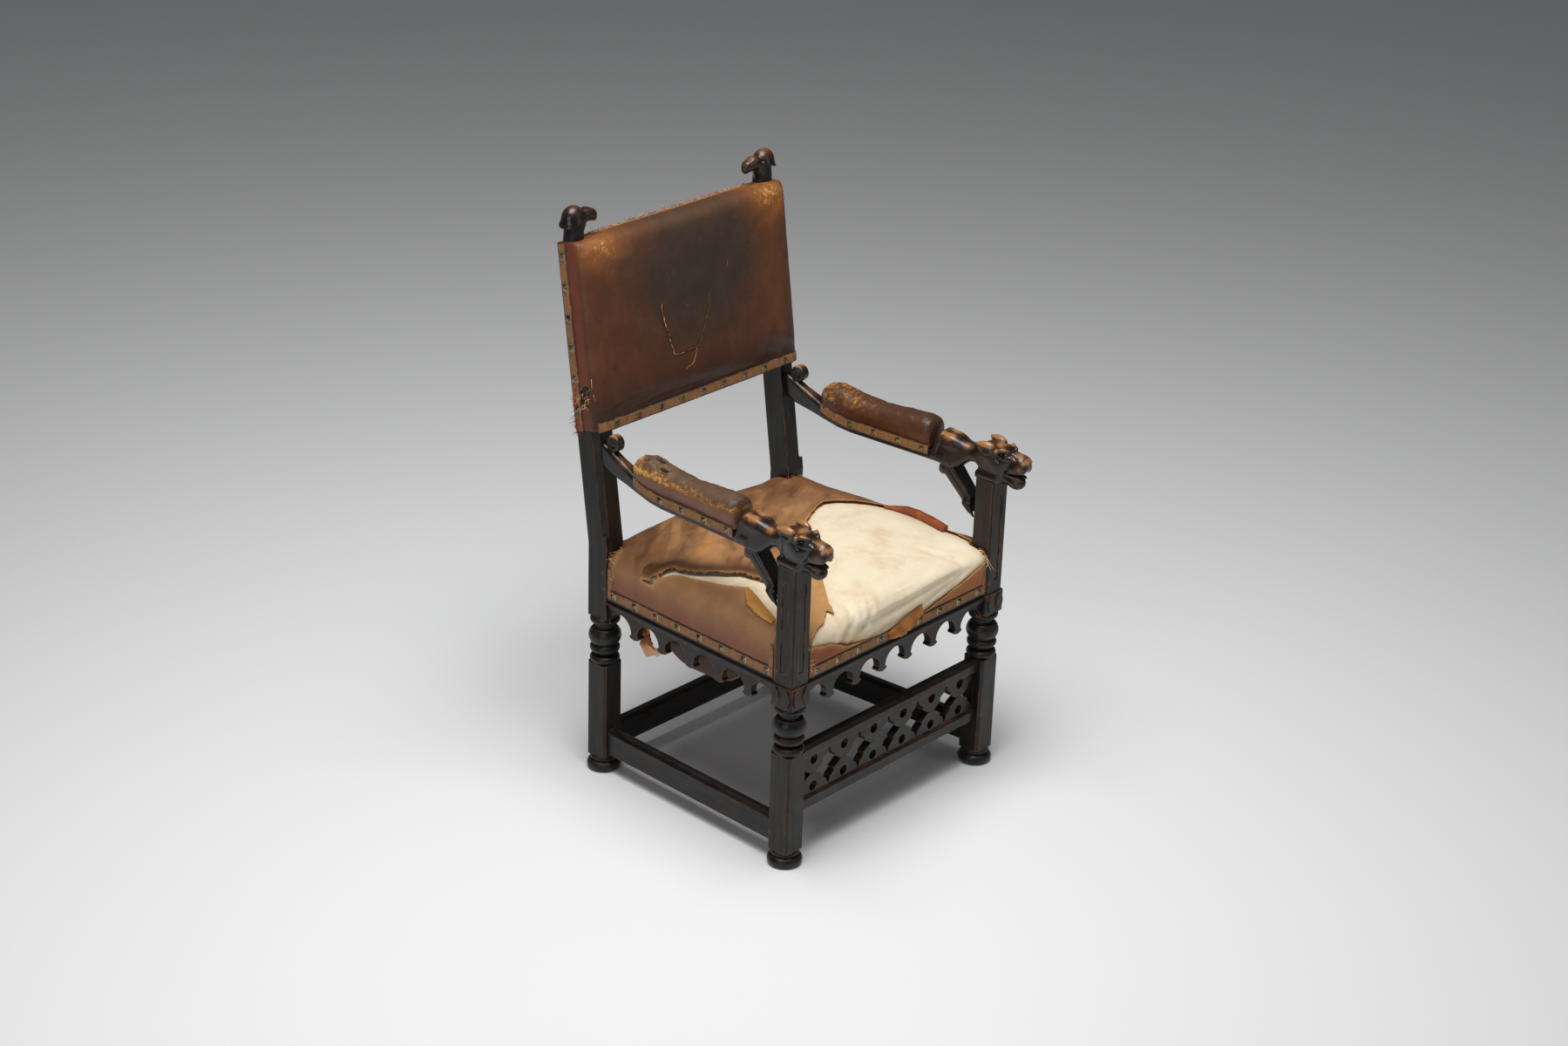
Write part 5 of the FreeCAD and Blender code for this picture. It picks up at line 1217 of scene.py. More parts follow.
hide_paint = painted(
    tint(84, 50, 34),
    (ease(fine_mottle, 0.0, 0.6) * 0.4, tint(104, 64, 44)),
    (low_share * 0.85, tint(54, 36, 27)),
    (dark_share * 0.95, tint(58, 47, 39)),
    (right_glow * 0.5, tint(110, 66, 30)),
    (ease(np.abs(hide_x - 110) + 30 * mottle, 60, 10) * low_share * 0.4, tint(92, 54, 36)),
    (np.maximum(0.14 * top_edge, corner_glow) * 0.6, tint(150, 98, 54)),
    (side_face * 0.8, tint(116, 60, 42)),
    (rear_edge * (1.0 - side_face) * 0.7, tint(92, 62, 42)),
    # painted shadow: a dark line along the tear in the back
    (bell(torn_gap, 0.0, 3.0) * front_face * 0.7, tint(40, 27, 21)))
hide_scuff = -0.46 + 0.16 * top_edge * (1.0 + 0.8 * mottle) + 0.8 * corner_glow ** 1.5
hide_scuff = hide_scuff + 0.14 * right_glow + 0.06 * dark_share
hide_rough = 0.44 + 0.12 * dark_share + 0.1 * top_edge - 0.05 * low_share

# A ragged hole in the left side of the back
hole_line = [(-20, 304), (-8, 308), (2, 303), (8, 288), (4, 270), (-6, 262), (-17, 267), (-12, 282), (-19, 290)]
hole_gap = shape_gap(hide[:, [1, 2]], hole_line) + 3.0 * ripple(hide[:, [1, 2, 0]], 9.0, 21.0)
hole_gap = np.where(hide[:, 0] < -240.0, hole_gap, no_limit)
hide, hide_faces, hide_masks = clipped(hide, hide_faces, hole_gap, (hide_paint, hide_scuff, hide_rough))
back_cover = leather_piece("back_leather_cover", from_back(hide), hide_faces, *hide_masks)
thickened(back_cover, 1.4, -1.0)
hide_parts("back_leather")


# Arm pads
pad_start = 130.0
pad_end = 390.0
arm_top = post_top + 24.5


def pad_clay():
    clay = Clay((pad_start - 12, -36, arm_top - 6), (pad_end + 12, 36, arm_top + 74), 2.0)
    x, y, z = clay.places()
    seat = arm_top + np.interp(x, [318, 350, 390], [0.4, 3.4, 14.0])
    share = (x - pad_start) / (pad_end - pad_start)
    crest = arm_top + np.interp(share, [0, 0.08, 0.22, 0.48, 0.72, 0.88, 1.0], [55, 59, 57, 52, 56, 63, 57])
    half = 24.4 + 6.4 * ease(z, seat + 8.0, seat + 34.0) - 1.6 * np.sin(math.pi * share)
    round_top = crest - 7.0 * (y / 26.0) ** 2
    field = soft_max(np.abs(y) - half, z - round_top, 20.0)
    front_lean = 3.0 * np.clip((z - seat) / 40.0, 0, 1)
    field = soft_max(field, np.maximum(pad_start + 0.6 - x - front_lean, x - pad_end - 2.0), 15.0)
    clay.field = soft_max(field, seat - z, 4.0)
    return clay


arm_pad, arm_pad_faces = pad_clay().skin()
arm_pad_up = normals_of(arm_pad, arm_pad_faces)
arm_rise = arm_pad[:, 2] - arm_top
top_share = ease(arm_rise, 30.0, 46.0)
low_part = ease(arm_rise, 34.0, 22.0)
pad_share = (arm_pad[:, 0] - pad_start) / (pad_end - pad_start)
front_end = ease(pad_share, 0.1, 0.0)
rear_end = ease(pad_share, 0.84, 0.97) * ease(arm_rise, 16.0, 36.0)
rear_top = ease(pad_share, 0.3, 0.9) * ease(arm_rise, 24.0, 42.0)
pad_kinds = {
    "left": {"seed": 31.0, "worn": 1.0, "rough": 0.5, "base": tint(124, 86, 60), "low": tint(122, 88, 74),
             "top": tint(84, 68, 56), "dents": [((348, -4, 58), (23, 6.5, 14), 9.0), ((318, 13, 52), (13, 4, 10), 6.0),
                                                ((362, 12, 54), (8, 3.5, 9), 5.0)]},
    "right": {"seed": 37.0, "worn": 0.45, "rough": 0.36, "base": tint(88, 52, 32), "low": tint(94, 52, 30),
              "top": tint(78, 54, 40), "dents": []},
}
for side, kind in pad_kinds.items():
    seed, worn = kind["seed"], kind["worn"]
    bumps = ripple(arm_pad, 17.0, seed) * (0.5 + 0.7 * worn * top_share) + 0.4 * ripple(arm_pad, 6.0, seed + 1) * worn
    dents = np.zeros(len(arm_pad))
    for (x, y, rise), size, depth in kind["dents"]:
        gap = np.linalg.norm((arm_pad - [x, y, arm_top + rise]) / size, axis=1) + 0.5 * ripple(arm_pad, 9.0, seed + 3)
        dents += depth * ease(gap, 1.05, 0.82)
        bumps += 2.0 * bell(gap, 1.2, 0.18)
    local = arm_pad + (bumps - dents)[:, None] * arm_pad_up
    mottle = ripple(arm_pad, 30.0, seed + 2)
    rim = bell(arm_rise, 40.0 + 5.0 * mottle, 8.0)
    # painted shade: the dents that stand for holes are painted near black
    pad_paint = painted(kind["base"], (low_part * 0.85, kind["low"]), (top_share * 0.85, kind["top"]),
                        (front_end * top_share * 0.7, tint(58, 42, 32)), (dents / 3.0, tint(18, 13, 10)))
    if side == "left":
        pad_scuff = 0.6 * rim + 0.28 * rear_top * (1.0 + mottle) + 0.4 * rear_end - 0.22 - 0.7 * low_part - dents
    else:
        pad_scuff = 0.62 * rear_top * (1.0 + 0.6 * mottle) - 0.2 - 0.3 * low_part
    cushion = leather_piece(side + "_arm_cushion", *on_side(side, from_side(local), arm_pad_faces), pad_paint,
                            pad_scuff, kind["rough"])
    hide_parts(side + "_arm_leather", side + "_arm_pad")


# Lines, rings and grids of points
def run_of(line):
    """Length along a line up to each of its points."""
    return np.concatenate([[0.0], np.cumsum(np.linalg.norm(np.diff(np.array(line, float), axis=0), axis=1))])


def between(spots, run, values):
    """Rows of values that are known along a run, at other spots of it."""
    return np.stack([np.interp(spots, run, column) for column in np.array(values, float).T], 1)


def unit_rows(ways):
    return ways / np.linalg.norm(ways, axis=1)[:, None]


def grid_faces(rows, columns):
    index = np.arange(rows * columns).reshape(rows, columns)
    return np.stack([index[:-1, :-1], index[1:, :-1], index[1:, 1:], index[:-1, 1:]], 2).reshape(-1, 4)


def ring_faces(rings, sides):
    """Faces between rings of points that follow each other."""
    start = np.arange(rings - 1)[:, None] * sides
    here = start + np.arange(sides)
    beside = start + (np.arange(sides) + 1) % sides
    return np.stack([here, beside, beside + sides, here + sides], 2).reshape(-1, 4)


def merged(parts):
    """One mesh of several, each with a row of values for each of its points."""
    shift = 0
    faces = []
    for points, some, _ in parts:
        faces.append(some + shift)
        shift += len(points)
    return np.concatenate([p[0] for p in parts]), np.concatenate(faces), np.concatenate([p[2] for p in parts])


# Braid: woven ribbons along paths, a little ragged at their edges
def ribbon_mesh(path, up, width, thickness, seed):
    """Points, faces and weave places of a woven ribbon; its flat side faces along path x up."""
    run = run_of(path)
    count = max(int(run[-1] / 3.0), 2)
    spots = np.linspace(0.0, run[-1], count)
    line = between(spots, run, path)
    rise = unit_rows(between(spots, run, up))
    out = np.cross(unit_rows(np.gradient(line, axis=0)), rise)
    section = [(-0.5, 0.0), (-0.5, 0.7), (-0.36, 1.0), (-0.12, 0.9), (0.12, 0.9), (0.36, 1.0), (0.5, 0.7), (0.5, 0.0)]
    ragged = [0.35 * ripple(line, 9.0, seed + 1.0), 0.35 * ripple(line, 9.0, seed + 2.0)]
    ripples = 0.16 * ripple(line, 16.0, seed + 3.0)
    rings = []
    weave = []
    for across, depth in section:
        edge = ragged[0] if across < 0 else ragged[1]
        reach = across * width + edge * abs(across) * 2.0
        rings.append(line + reach[:, None] * rise + (depth * (thickness + ripples))[:, None] * out)
        weave.append(np.stack([spots, np.full(count, across * width)], 1))
    points = np.stack(rings, 1).reshape(-1, 3)
    places = np.stack(weave, 1).reshape(-1, 2)
    sides = len(section)
    caps = np.array([[0, 1, 6, 7], [1, 2, 5, 6], [2, 3, 4, 5]])
    last = caps[:, ::-1] + (count - 1) * sides
    return points, np.concatenate([ring_faces(count, sides), caps, last]), places


def braid_piece(node, parts, side="left"):
    """Woven braid in place of its node, made of one or more ribbons."""
    points, faces, places = merged(parts)
    points, faces = on_side(side, points, faces)
    tangle = np.clip(ripple(points, 40.0, 3.3), 0.0, 1.0)
    name = node.replace("braid", "woven_braid")
    item = piece(name, points, faces, looks["braid"], "braid", {"thread": tangle}, places)
    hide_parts(node)


braid_width = 19.0
braid_thick = 1.6
end_width = 9.5
upright = np.array([0.0, 0.0, 1.0])


def seat_band(start, end, seed):
    """Braid on one side of the seat, seen from outside with start at the left: along the bottom and up both ends."""
    start = np.array(start, float)
    end = np.array(end, float)
    way = (end - start) / np.linalg.norm(end - start)
    middle = seat_low + braid_width / 2.0
    top = node_box("front_seat_braid")[1][2]
    lift_to = upright * (top - seat_low - braid_width)
    low = [start + upright * middle, end + upright * middle]
    parts = [ribbon_mesh(low, [upright] * 2, braid_width, braid_thick, seed=seed)]
    for corner, sign in ((start, 1.0), (end, -1.0)):
        foot = corner + way * sign * end_width / 2.0 + upright * (seat_low + braid_width - 0.5)
        parts.append(ribbon_mesh([foot, foot + lift_to], [-way] * 2, end_width, braid_thick, seed=seed + 5 + sign))
    return parts


front_low, front_high = node_box("front_seat_braid")
rear_low, rear_high = node_box("rear_seat_braid")
front_face_y = seat_front - 2.9
rear_face_y = seat_rear + 2.9
braid_piece("front_seat_braid", seat_band((front_low[0], front_face_y, 0), (front_high[0], front_face_y, 0), 41))
braid_piece("rear_seat_braid", seat_band((rear_high[0], rear_face_y, 0), (rear_low[0], rear_face_y, 0), 43))
side_ends = from_side([[side_run - 27.5, 18.9, 0.0], [26.9, 18.9, 0.0]])
for side in ("left", "right"):
    braid_piece(side + "_seat_braid", seat_band(side_ends[0], side_ends[1], 45), side)


def back_front(x, z, grow, samples):
    """Depth of the back's face at a place on it, for a layer that stands out by grow."""
    depth = np.linspace(-70.0, 20.0, samples)
    return float(np.interp(0.0, -back_field(x, depth, z, grow), depth))


def back_braid_parts():
    """Braid up both sides at the rear edge of the back, and along the bottom of its front."""
    edge = back_half + 1.6
    parts = []
    rear = 23.5 - braid_width / 2.0
    for sign in (-1, 1):
        line = from_back([[sign * edge, rear, back_low], [sign * edge, rear, back_high]])
        across = [-back_rear * sign] * 2
        parts.append(ribbon_mesh(line, across, braid_width, braid_thick, seed=51 + sign))
    z = back_low + braid_width / 2.0
    spots = np.linspace(-back_half + 3.0, back_half - 3.0, 61)
    line = [(x, back_front(x, z + 4.0, 1.6, 181), z) for x in spots]
    return parts + [ribbon_mesh(from_back(line), [back_up] * len(line), braid_width, braid_thick, seed=57)]


braid_piece("back_braid", back_braid_parts())


def arm_braid_parts():
    """Braid round the foot of an arm pad, from the collar of the beast's neck to the swan neck."""
    parts = []
    for sign in (1, -1):
        line = []
        for x in np.linspace(pad_start + 1.0, pad_end + 1.0, 40):
            rise = np.interp(x, [318, 350, 390], [0.0, 3.0, 12.5])
            half = np.interp(x, [130, 330, 372, 391], [24.9, 24.9, 23.6, 20.0])
            line.append((x, sign * half, arm_top + rise - 0.5))
        if sign > 0:
            line = line[::-1]
        parts.append(ribbon_mesh(from_side(line), [upright] * len(line), braid_width, braid_thick, seed=61 + sign))
    return parts


for side in ("left", "right"):
    braid_piece(side + "_arm_braid", arm_braid_parts(), side)


# Bottom cloth that hangs under the seat, torn at its front edge
cloth_low, cloth_high = node_box("seat_bottom_cloth")
chord = cloth_high[0]
sag = cloth_high[2] - cloth_low[2]
cloth_columns, cloth_rows, pocket_depth = 121, 91, 88.0
across, along = np.meshgrid(np.linspace(-1.0, 1.0, cloth_columns), np.linspace(0.0, 1.0, cloth_rows), indexing="ij")
across, along = across.ravel(), along.ravel()
cloth_x = across * (chord - 2.0)
torn_front = cloth_low[1] + 14.0 + 10.0 * ripple(np.c_[cloth_x, 0 * cloth_x, 0 * cloth_x], 45.0, 71.0)
cloth_y = torn_front + along * (cloth_high[1] - torn_front)
cloth_z = cloth_high[2] - 1.0 - (sag - 1.6) * (1.0 - across ** 2)
pocket = pocket_depth * np.exp(-((cloth_x + 212.0) / 40.0) ** 2 - ((cloth_y - 6.0) / 112.0) ** 4)
cloth_points = np.stack([cloth_x, cloth_y, cloth_z - pocket], 1)
cloth_points[:, 2] += 2.2 * ripple(cloth_points * [1.0, 1.0, 0.0], 60.0, 73.0) * (1.0 - across ** 2)
cloth_faces = grid_faces(cloth_columns, cloth_rows)
pocket_tear = [(-202, 52), (-212, 10), (-204, -34), (-210, -76), (-200, -104), (-150, -96), (-128, -30), (-146, 40)]
cloth_rag = 5.0 * ripple(cloth_points * [1.0, 1.0, 0.0], 18.0, 75.0)
cloth_gap = shape_gap(cloth_points[:, :2], pocket_tear) + cloth_rag
cloth_paint = painted(tint(60, 34, 20),
                      (fade(cloth_gap, 3.0), tint(206, 156, 104)),
                      (ease(cloth_rag, 0.5, 3.0) * 0.5, tint(84, 48, 28)))
cloth_points, cloth_faces, (cloth_paint,) = clipped(cloth_points, triangles_of(cloth_faces), cloth_gap, (cloth_paint,))
bottom_cloth = piece("bottom_cloth_hanging", cloth_points, cloth_faces, looks["bottom_cloth"], "bottom_cloth",
                     {"paint": cloth_paint})
thickened(bottom_cloth, 1.2, 0.0)
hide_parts("seat_bottom_cloth")


# Torn strips, rolls and loose threads
strip_steps = 9


def sheet_between(first, second, count, seed, rag):
    """Points and faces of a sheet ruled between two lines, ragged at the second."""
    rows = []
    for line in (first, second):
        run = run_of(line)
        rows.append(between(np.linspace(0.0, run[-1], count), run, line))
    ragged = 1.0 + rag * ripple(rows[1], 9.0, seed) + 0.5 * rag * ripple(rows[1], 3.5, seed + 1.0)
    layers = [rows[0] + (ragged * k / (strip_steps - 1))[:, None] * (rows[1] - rows[0]) for k in range(strip_steps)]
    return np.stack(layers, 1).reshape(-1, 3), grid_faces(count, strip_steps)


def across_sheet(count):
    """How far each point of such a sheet is from its first line, from 0 to 1."""
    return np.tile(np.linspace(0.0, 1.0, strip_steps), count)


def tube_mesh(path, radii, sides):
    """Points and faces of an open tube along a path."""
    way = unit_rows(np.gradient(path, axis=0))
    first = unit_rows(np.cross(way, [0.31, 0.52, 0.79]))
    second = np.cross(way, first)
    turn = np.linspace(0.0, 2.0 * math.pi, sides, endpoint=False)
    ring = np.cos(turn)[None, :, None] * first[:, None, :] + np.sin(turn)[None, :, None] * second[:, None, :]
    points = (path[:, None, :] + np.array(radii)[:, None, None] * ring).reshape(-1, 3)
    return points, ring_faces(len(path), sides)


def seat_height(x, y, grow):
    """Height of the seat's surface over a place in plan."""
    z = np.linspace(400.0, 492.0, 185)
    return float(np.interp(0.0, seat_field(x, y, z, grow, 300.0), z))


def leather_strip(name, points, faces, colours, thickness_mm, scuff):
    """A torn strip of leather, with its rough inside showing."""
    strip_roughness = 0.72
    item = leather_piece(name, points, faces, colours, scuff, strip_roughness)
    thickened(item, thickness_mm, 0.0)
    return item


def on_seat(places, rise):
    """Places in plan, lifted off the seat's leather."""
    return [(x, y, seat_height(x, y, 4.4) + up) for (x, y), up in zip(places, rise)]


# The band leather's torn edge, folded outwards so that its tan inside shows
flap_inner = on_seat([(-206, -88), (-222, -122), (-242, -166), (-259, -204)], (1.0, 5.0, 6.0, 3.0))
flap_outer = on_seat([(-212, -86), (-250, -124), (-264, -164), (-272, -204)], (1.0, 1.4, 1.4, 1.0))
strip_count = 60
fold_points, fold_faces = sheet_between(flap_inner, flap_outer, strip_count, 81.0, 0.06)
fold_share = across_sheet(strip_count)
fold_swell = np.repeat(np.sin(math.pi * np.linspace(0, 1, strip_count)), strip_steps)
fold_points[:, 2] += 5.0 * np.sin(math.pi * fold_share) * fold_swell
fold_paint = painted(tint(190, 132, 66), (ease(fold_share, 0.4, 1.0), tint(214, 164, 96)))
seat_flap = leather_strip("seat_folded_flap", fold_points, fold_faces, fold_paint, 1.6, -0.1)

# A tongue of torn leather that lies over the front braid
tongue_top = [(-36, front_face_y - 2.6, 386), (-12, front_face_y - 3.0, 394), (20, front_face_y - 3.0, 402),
              (58, front_face_y - 2.2, 412)]
tongue_foot = [(-33, front_face_y - 3.2, 374), (-6, front_face_y - 4.4, 367), (28, front_face_y - 4.0, 372),
               (62, front_face_y - 2.6, 392)]
tongue_points, tongue_faces = sheet_between(tongue_top, tongue_foot, strip_count, 97.0, 0.12)
tongue_swell = np.sin(math.pi * across_sheet(strip_count)) * (1.0 + ripple(tongue_points, 20.0, 98.0))
tongue_points[:, 1] -= 1.6 * tongue_swell
tongue_paint = painted(tint(188, 126, 56), (ease(ripple(tongue_points, 22.0, 99.0), -0.2, 0.5), tint(150, 90, 42)))
front_tongue = leather_strip("front_tongue", tongue_points, tongue_faces, tongue_paint, 1.4, 0.0)

# The rolled edge of the leather on the right
roll_places = [(252, -22), (262, -40), (270, -62), (272, -88), (270, -115), (266, -142), (262, -164)]
roll_radii = np.array([2.0, 4.5, 8.0, 9.0, 8.5, 8.0, 7.5])
roll_path = [(x, y, seat_height(x, y, 3.0) + 0.75 * r) for (x, y), r in zip(roll_places, roll_radii)]
roll_rings, roll_inside, roll_sides = 46, 8, 18
knots = np.arange(len(roll_path))
fine = np.linspace(0.0, len(roll_path) - 1.0, roll_rings)
roll_line = between(fine, knots, roll_path)
roll_size = np.interp(fine, knots, roll_radii) * (1.0 + 0.08 * ripple(roll_line, 16.0, 83.0))

# Its open end turns back inside itself
roll_line = np.concatenate([roll_line, roll_line[-1:], roll_line[-roll_inside:-1][::-1]])
roll_size = np.concatenate([roll_size, roll_size[-1:] * 0.6, roll_size[-roll_inside:-1][::-1] * 0.55])
roll_line[roll_rings:] += np.linspace(0.0, 1e-3, roll_inside)[:, None]
roll_points, roll_faces = tube_mesh(roll_line, roll_size, roll_sides)
# painted shade: the rings that turn back inside the roll are painted dark
roll_paint = painted(tint(146, 76, 46),
                     (ease(ripple(roll_points, 14.0, 85.0), 0.0, 0.6) * 0.6, tint(176, 110, 62)),
                     (np.repeat(np.arange(len(roll_line)) > roll_rings, roll_sides) * 1.0, tint(60, 30, 20)))
seat_roll = leather_strip("seat_rolled_edge", roll_points, roll_faces, roll_paint, 1.0, 0.0)

# A scrap that hangs from the torn cloth under the seat
scrap_left = [(-240, 166, 346), (-246, 146, 324), (-240, 138, 306), (-250, 138, 291), (-248, 122, 268)]
scrap_right = [(-236, 130, 348), (-238, 118, 326), (-232, 122, 308), (-238, 96, 295), (-230, 102, 273)]
scrap_count = 50
scrap_points, scrap_faces = sheet_between(scrap_left, scrap_right, scrap_count, 87.0, 0.3)
scrap_points[:, 0] += 9.0 * np.sin(1.6 * math.pi * across_sheet(scrap_count))
scrap_paint = painted(tint(172, 104, 62), (ease(scrap_points[:, 2], 296.0, 280.0), tint(226, 186, 150)))
scrap = leather_strip("hanging_scrap", scrap_points, scrap_faces, scrap_paint, 1.3, -0.2)


# Raw edges of the tear in the back: narrow strips of torn leather
def torn_strip(name, line, width, seed, tone):
    """A raw edge along a line on the back's face that wanders and changes its width."""
    run = run_of(line)
    spots = np.linspace(0.0, run[-1], max(int(run[-1] / 2.0), 8))
    plain = between(spots, run, line)
    wander = 1.3 * ripple(plain, 14.0, seed) + 1.3 * ripple(plain, 5.0, seed + 4.0)
    way = np.gradient(plain, axis=0)
    side = np.stack([-way[:, 1], way[:, 0]], 1) / np.linalg.norm(way, axis=1)[:, None]
    path = plain + wander[:, None] * side
    half = np.clip(width * (0.55 + 0.9 * ripple(plain, 6.0, seed + 1.0)), 0.15, None)
    half *= np.minimum(1.0, np.minimum(spots, run[-1] - spots) / 14.0 + 0.15)
    first = path - half[:, None] * side
    second = path + half[:, None] * side
    lines = [[(x, back_front(x, z, 1.4, 361) - lift, z) for x, z in row] for row, lift in ((first, 0.5), (second, 1.2))]
    points, faces = sheet_between(*lines, len(path), seed + 2.0, 0.1)
    colours = painted(tint(196, 142, 78), (ease(ripple(points, 5.0, seed + 3.0), 0.0, 0.5), tint(228, 184, 118)))
    return leather_strip(name, from_back(points), faces, colours * tone, 0.5, -0.3)


back_tears = [torn_strip("back_tear_edge", torn_line[:6], 0.95, 91.0, 0.8),
              torn_strip("back_tear_rise", torn_line[5:], 0.45, 93.0, 0.4),
              torn_strip("back_tear_tail", torn_tail, 0.5, 95.0, 0.6)]
for number, scratch in enumerate(([(-48, 416), (-34, 404), (-28, 402)], [(22, 392), (27, 408), (28, 416)],
                                  [(80, 478), (84, 462), (82, 450)])):
    back_tears.append(torn_strip("back_scratch_%d" % number, scratch, 0.22, 100.0 + 4 * number, 0.3))


# Loose threads: many thin bent tubes in one mesh
threads = np.random.default_rng(11)


def thread_mesh(roots, ways, lengths, colours, radius):
    """Points, faces and colours of threads that bend and droop."""
    share = np.linspace(0.0, 1.0, 6)
    parts = []
    for root, way, length, colour in zip(roots, ways, lengths, colours):
        bend = threads.normal(0.0, 0.35, (2, 3))
        way = np.array(way) / np.linalg.norm(way)
        curl = share[:, None] * way + (share ** 2)[:, None] * bend[0] + (share ** 3)[:, None] * bend[1]
        curl[:, 2] -= 0.35 * share ** 2
        points, faces = tube_mesh(np.array(root) + length * curl, radius * (1.0 - 0.7 * share), 4)
        parts.append((points, faces, np.tile(colour, (len(points), 1))))
    return merged(parts)


thread_reds = [tint(146, 56, 44), tint(176, 96, 70), tint(120, 44, 36)]
thread_golds = [tint(196, 150, 84), tint(222, 186, 128), tint(150, 104, 54)]
thread_greens = [tint(92, 98, 70), tint(120, 118, 88)]
thread_creams = [tint(240, 226, 196), tint(222, 200, 160)]


def tuft(roots, way, spread, length, colours, radius=0.7):
    """Threads that leave their roots about one way, with lengths and colours that vary."""
    roots = np.array(roots, float)
    count = len(roots)
    ways = np.array(way) + threads.normal(0.0, spread, (count, 3))
    lengths = length * threads.uniform(0.45, 1.25, count)
    picks = [colours[i] for i in threads.integers(0, len(colours), count)]
    return thread_mesh(roots, ways, lengths, picks, radius)


def along_line(first, last, count, jitter):
    """Random places along a line, in order, each a little off it."""
    share = np.sort(threads.uniform(0.0, 1.0, count))[:, None]
    return np.array(first) + share * (np.array(last) - np.array(first)) + threads.normal(0.0, jitter, (count, 3))


def tuft_along(first, last, count, jitter, *kind):
    return tuft(along_line(first, last, count, jitter), *kind)


def back_place(across, rear, rise):
    return from_back([[across, rear, rise]])[0]


fringe_count = 1100
fringe_left = back_place(-205.0, 17.0, back_high + 2.0)
fringe_right = back_place(222.0, 17.0, back_high + 2.0)
hole_middle = back_place(-271.0, -6.0, 284.0)
selvage = ribbon_mesh([fringe_left + [0, -5, 2.4], fringe_right + [0, -5, 2.4]], [back_rear] * 2, 9.0, 1.4, seed=63)
selvage_item = piece("back_top_selvage", selvage[0], selvage[1], looks["braid"], "braid",
                     {"thread": np.ones(len(selvage[0]))}, selvage[2])
fringe_roots = along_line(fringe_left + [0, -3, 2.0], fringe_right + [0, -3, 2.0], fringe_count, 1.7)
fringe_kind = ripple(fringe_roots * [1.0, 0.0, 0.0], 22.0, 65.0) + threads.normal(0.0, 0.12, fringe_count)
fringe_way = (0.0, -0.3, 0.5)
fringe_pinks = [tint(186, 96, 76), tint(226, 168, 142), tint(150, 60, 48)]
pink_share, green_share = fringe_kind > 0.16, fringe_kind < -0.3
side_foot = from_side([[440, 20, 380], [440, 20, 430]])
tufts = [
    tuft(fringe_roots[pink_share], fringe_way, 0.8, 5.4, fringe_pinks, 0.6),
    tuft(fringe_roots[green_share], fringe_way, 0.8, 4.6, thread_greens, 0.6),
    tuft(fringe_roots[~pink_share & ~green_share], fringe_way, 0.8, 4.2, thread_golds, 0.6),
    tuft_along(back_place(-275.0, 14.0, 305.0), back_place(-275.0, 18.0, 214.0), 110, 1.8, (-0.6, 0.2, -0.7), 0.6, 8.0,
               thread_reds, 0.8),
    tuft(hole_middle + threads.normal(0.0, 1.0, (46, 3)) * [1.0, 9.0, 14.0], (-0.7, -0.2, -0.3), 0.6, 13.0,
         thread_golds),
    tuft_along((246, -279, 436), (246, -262, 452), 26, 2.0, (-0.3, -0.7, 0.3), 0.5, 12.0, thread_creams),
    tuft_along((228, 200, 462), (262, 200, 458), 34, 2.0, (0.0, -0.6, 0.4), 0.5, 9.0, thread_golds + thread_reds),
    tuft_along((-232, 198, 462), (-272, 198, 452), 40, 2.0, (-0.3, -0.5, 0.4), 0.5, 9.0, thread_golds + thread_reds),
    tuft_along((-249, -279, 372), (-248, -279, 432), 22, 1.2, (0.5, -0.6, 0.1), 0.4, 6.0, thread_golds),
    tuft_along(side_foot[0], side_foot[1], 24, 1.2, (-0.5, -0.4, 0.1), 0.4, 7.0, thread_reds + thread_golds),
]
tuft_points, tuft_faces, tuft_paint = merged(tufts)
piece("loose_threads", tuft_points, tuft_faces, looks["thread"], "braid", {"paint": tuft_paint})

# The rear cover stays as the CAD model has it, in a leather of its own
rear_cover_looks = frame["nodes"]["back_outer_cover"].data.materials
rear_cover_looks.clear()
rear_cover_looks.append(looks["outer_leather"])


# Floor, light and camera
def pale_floor():
    look = Look("pale_floor")
    colour = look.mix(look.noise(900.0, 3.0), (0.93, 0.93, 0.928), (0.95, 0.95, 0.948))
    return look.finish(Base_Color=colour, Roughness=0.75)


def add_stage():
    mesh = bpy.data.meshes.new("floor")
    reach = 14.0
    mesh.from_pydata([(-reach, -reach, 0), (reach, -reach, 0), (reach, reach, 0), (-reach, reach, 0)], [],
                     [(0, 1, 2, 3)])
    mesh.materials.append(pale_floor())
    ground = bpy.data.objects.new("floor", mesh)
    bpy.context.scene.collection.objects.link(ground)


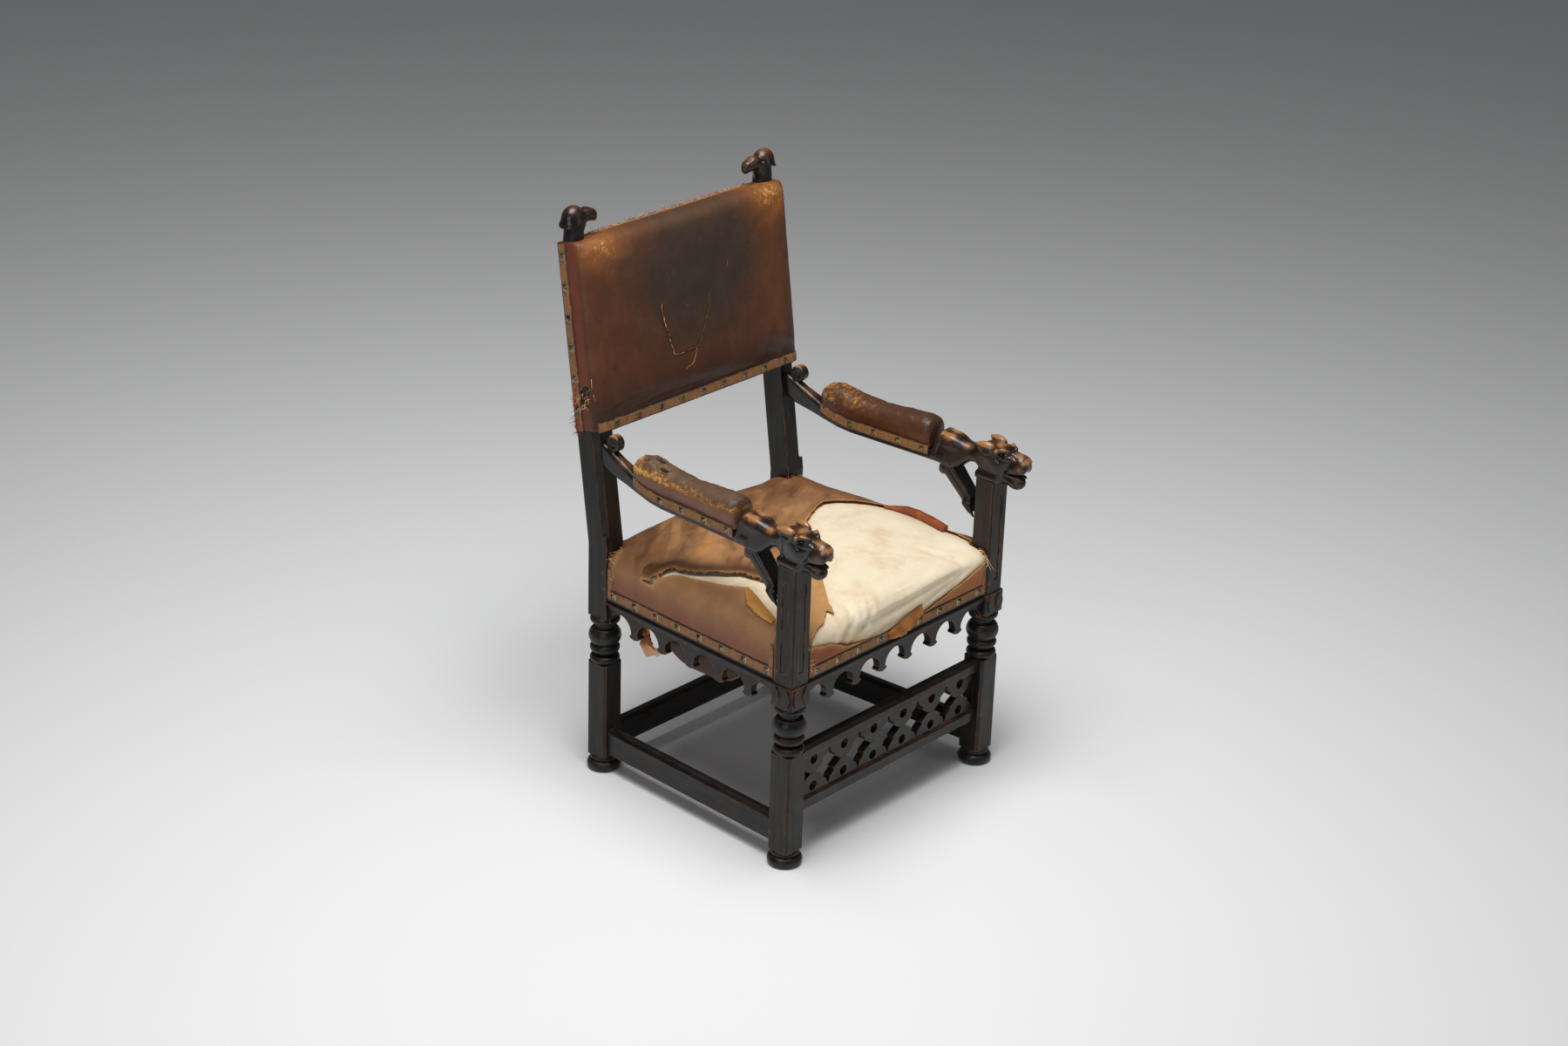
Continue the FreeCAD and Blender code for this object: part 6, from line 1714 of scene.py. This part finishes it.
def add_lamp(name, place, target, size, power):
    data = bpy.data.lights.new(name, "AREA")
    data.shape = "RECTANGLE"
    data.size, data.size_y = size
    data.energy = power
    lamp = bpy.data.objects.new(name, data)
    lamp.location = place
    lamp.rotation_euler = (Vector(target) - Vector(place)).to_track_quat("-Z", "Y").to_euler()
    bpy.context.scene.collection.objects.link(lamp)


def add_camera():
    """Camera of the photograph: its turn, height, roll, distance and focal length were fitted to the legs."""
    turn, rise, roll = (math.radians(v) for v in (-49.0, 24.2, 2.0))
    target = Vector((-12.87, -0.51, 506.99)) * MM
    distance = 5648.6 * MM
    focal_pixels, image_width, sensor_width = 3500.0, 1799.0, 36.0
    back = Vector((math.sin(turn) * math.cos(rise), -math.cos(turn) * math.cos(rise), math.sin(rise)))
    right = Vector((math.cos(turn), math.sin(turn), 0.0))
    up = back.cross(right)
    level = Matrix((right, up, back)).transposed()
    data = bpy.data.cameras.new("camera")
    data.sensor_fit = "HORIZONTAL"
    data.sensor_width = sensor_width
    data.lens = focal_pixels / image_width * sensor_width
    camera = bpy.data.objects.new("camera", data)
    facing = level @ Matrix.Rotation(roll, 3, "Z")
    camera.matrix_world = Matrix.Translation(target + back * distance) @ facing.to_4x4()
    bpy.context.scene.collection.objects.link(camera)
    bpy.context.scene.camera = camera


def add_light():
    world = bpy.data.worlds.new("studio")
    world.use_nodes = True
    world.node_tree.nodes["Background"].inputs["Color"].default_value = (0.8, 0.82, 0.85, 1.0)
    world.node_tree.nodes["Background"].inputs["Strength"].default_value = 0.105
    bpy.context.scene.world = world
    add_lamp("overhead", (-0.55, -0.25, 3.3), (-0.15, 0.0, 0.0), (1.9, 1.9), 99.0)
    add_lamp("left_fill", (-3.4, -1.2, 1.7), (0.0, 0.0, 0.5), (1.8, 1.8), 17.0)
    add_lamp("front_fill", (1.6, -3.6, 2.0), (0.0, 0.0, 0.5), (1.6, 1.6), 7.0)


add_stage()
add_light()
add_camera()
bpy.context.scene.view_settings.view_transform = "Standard"
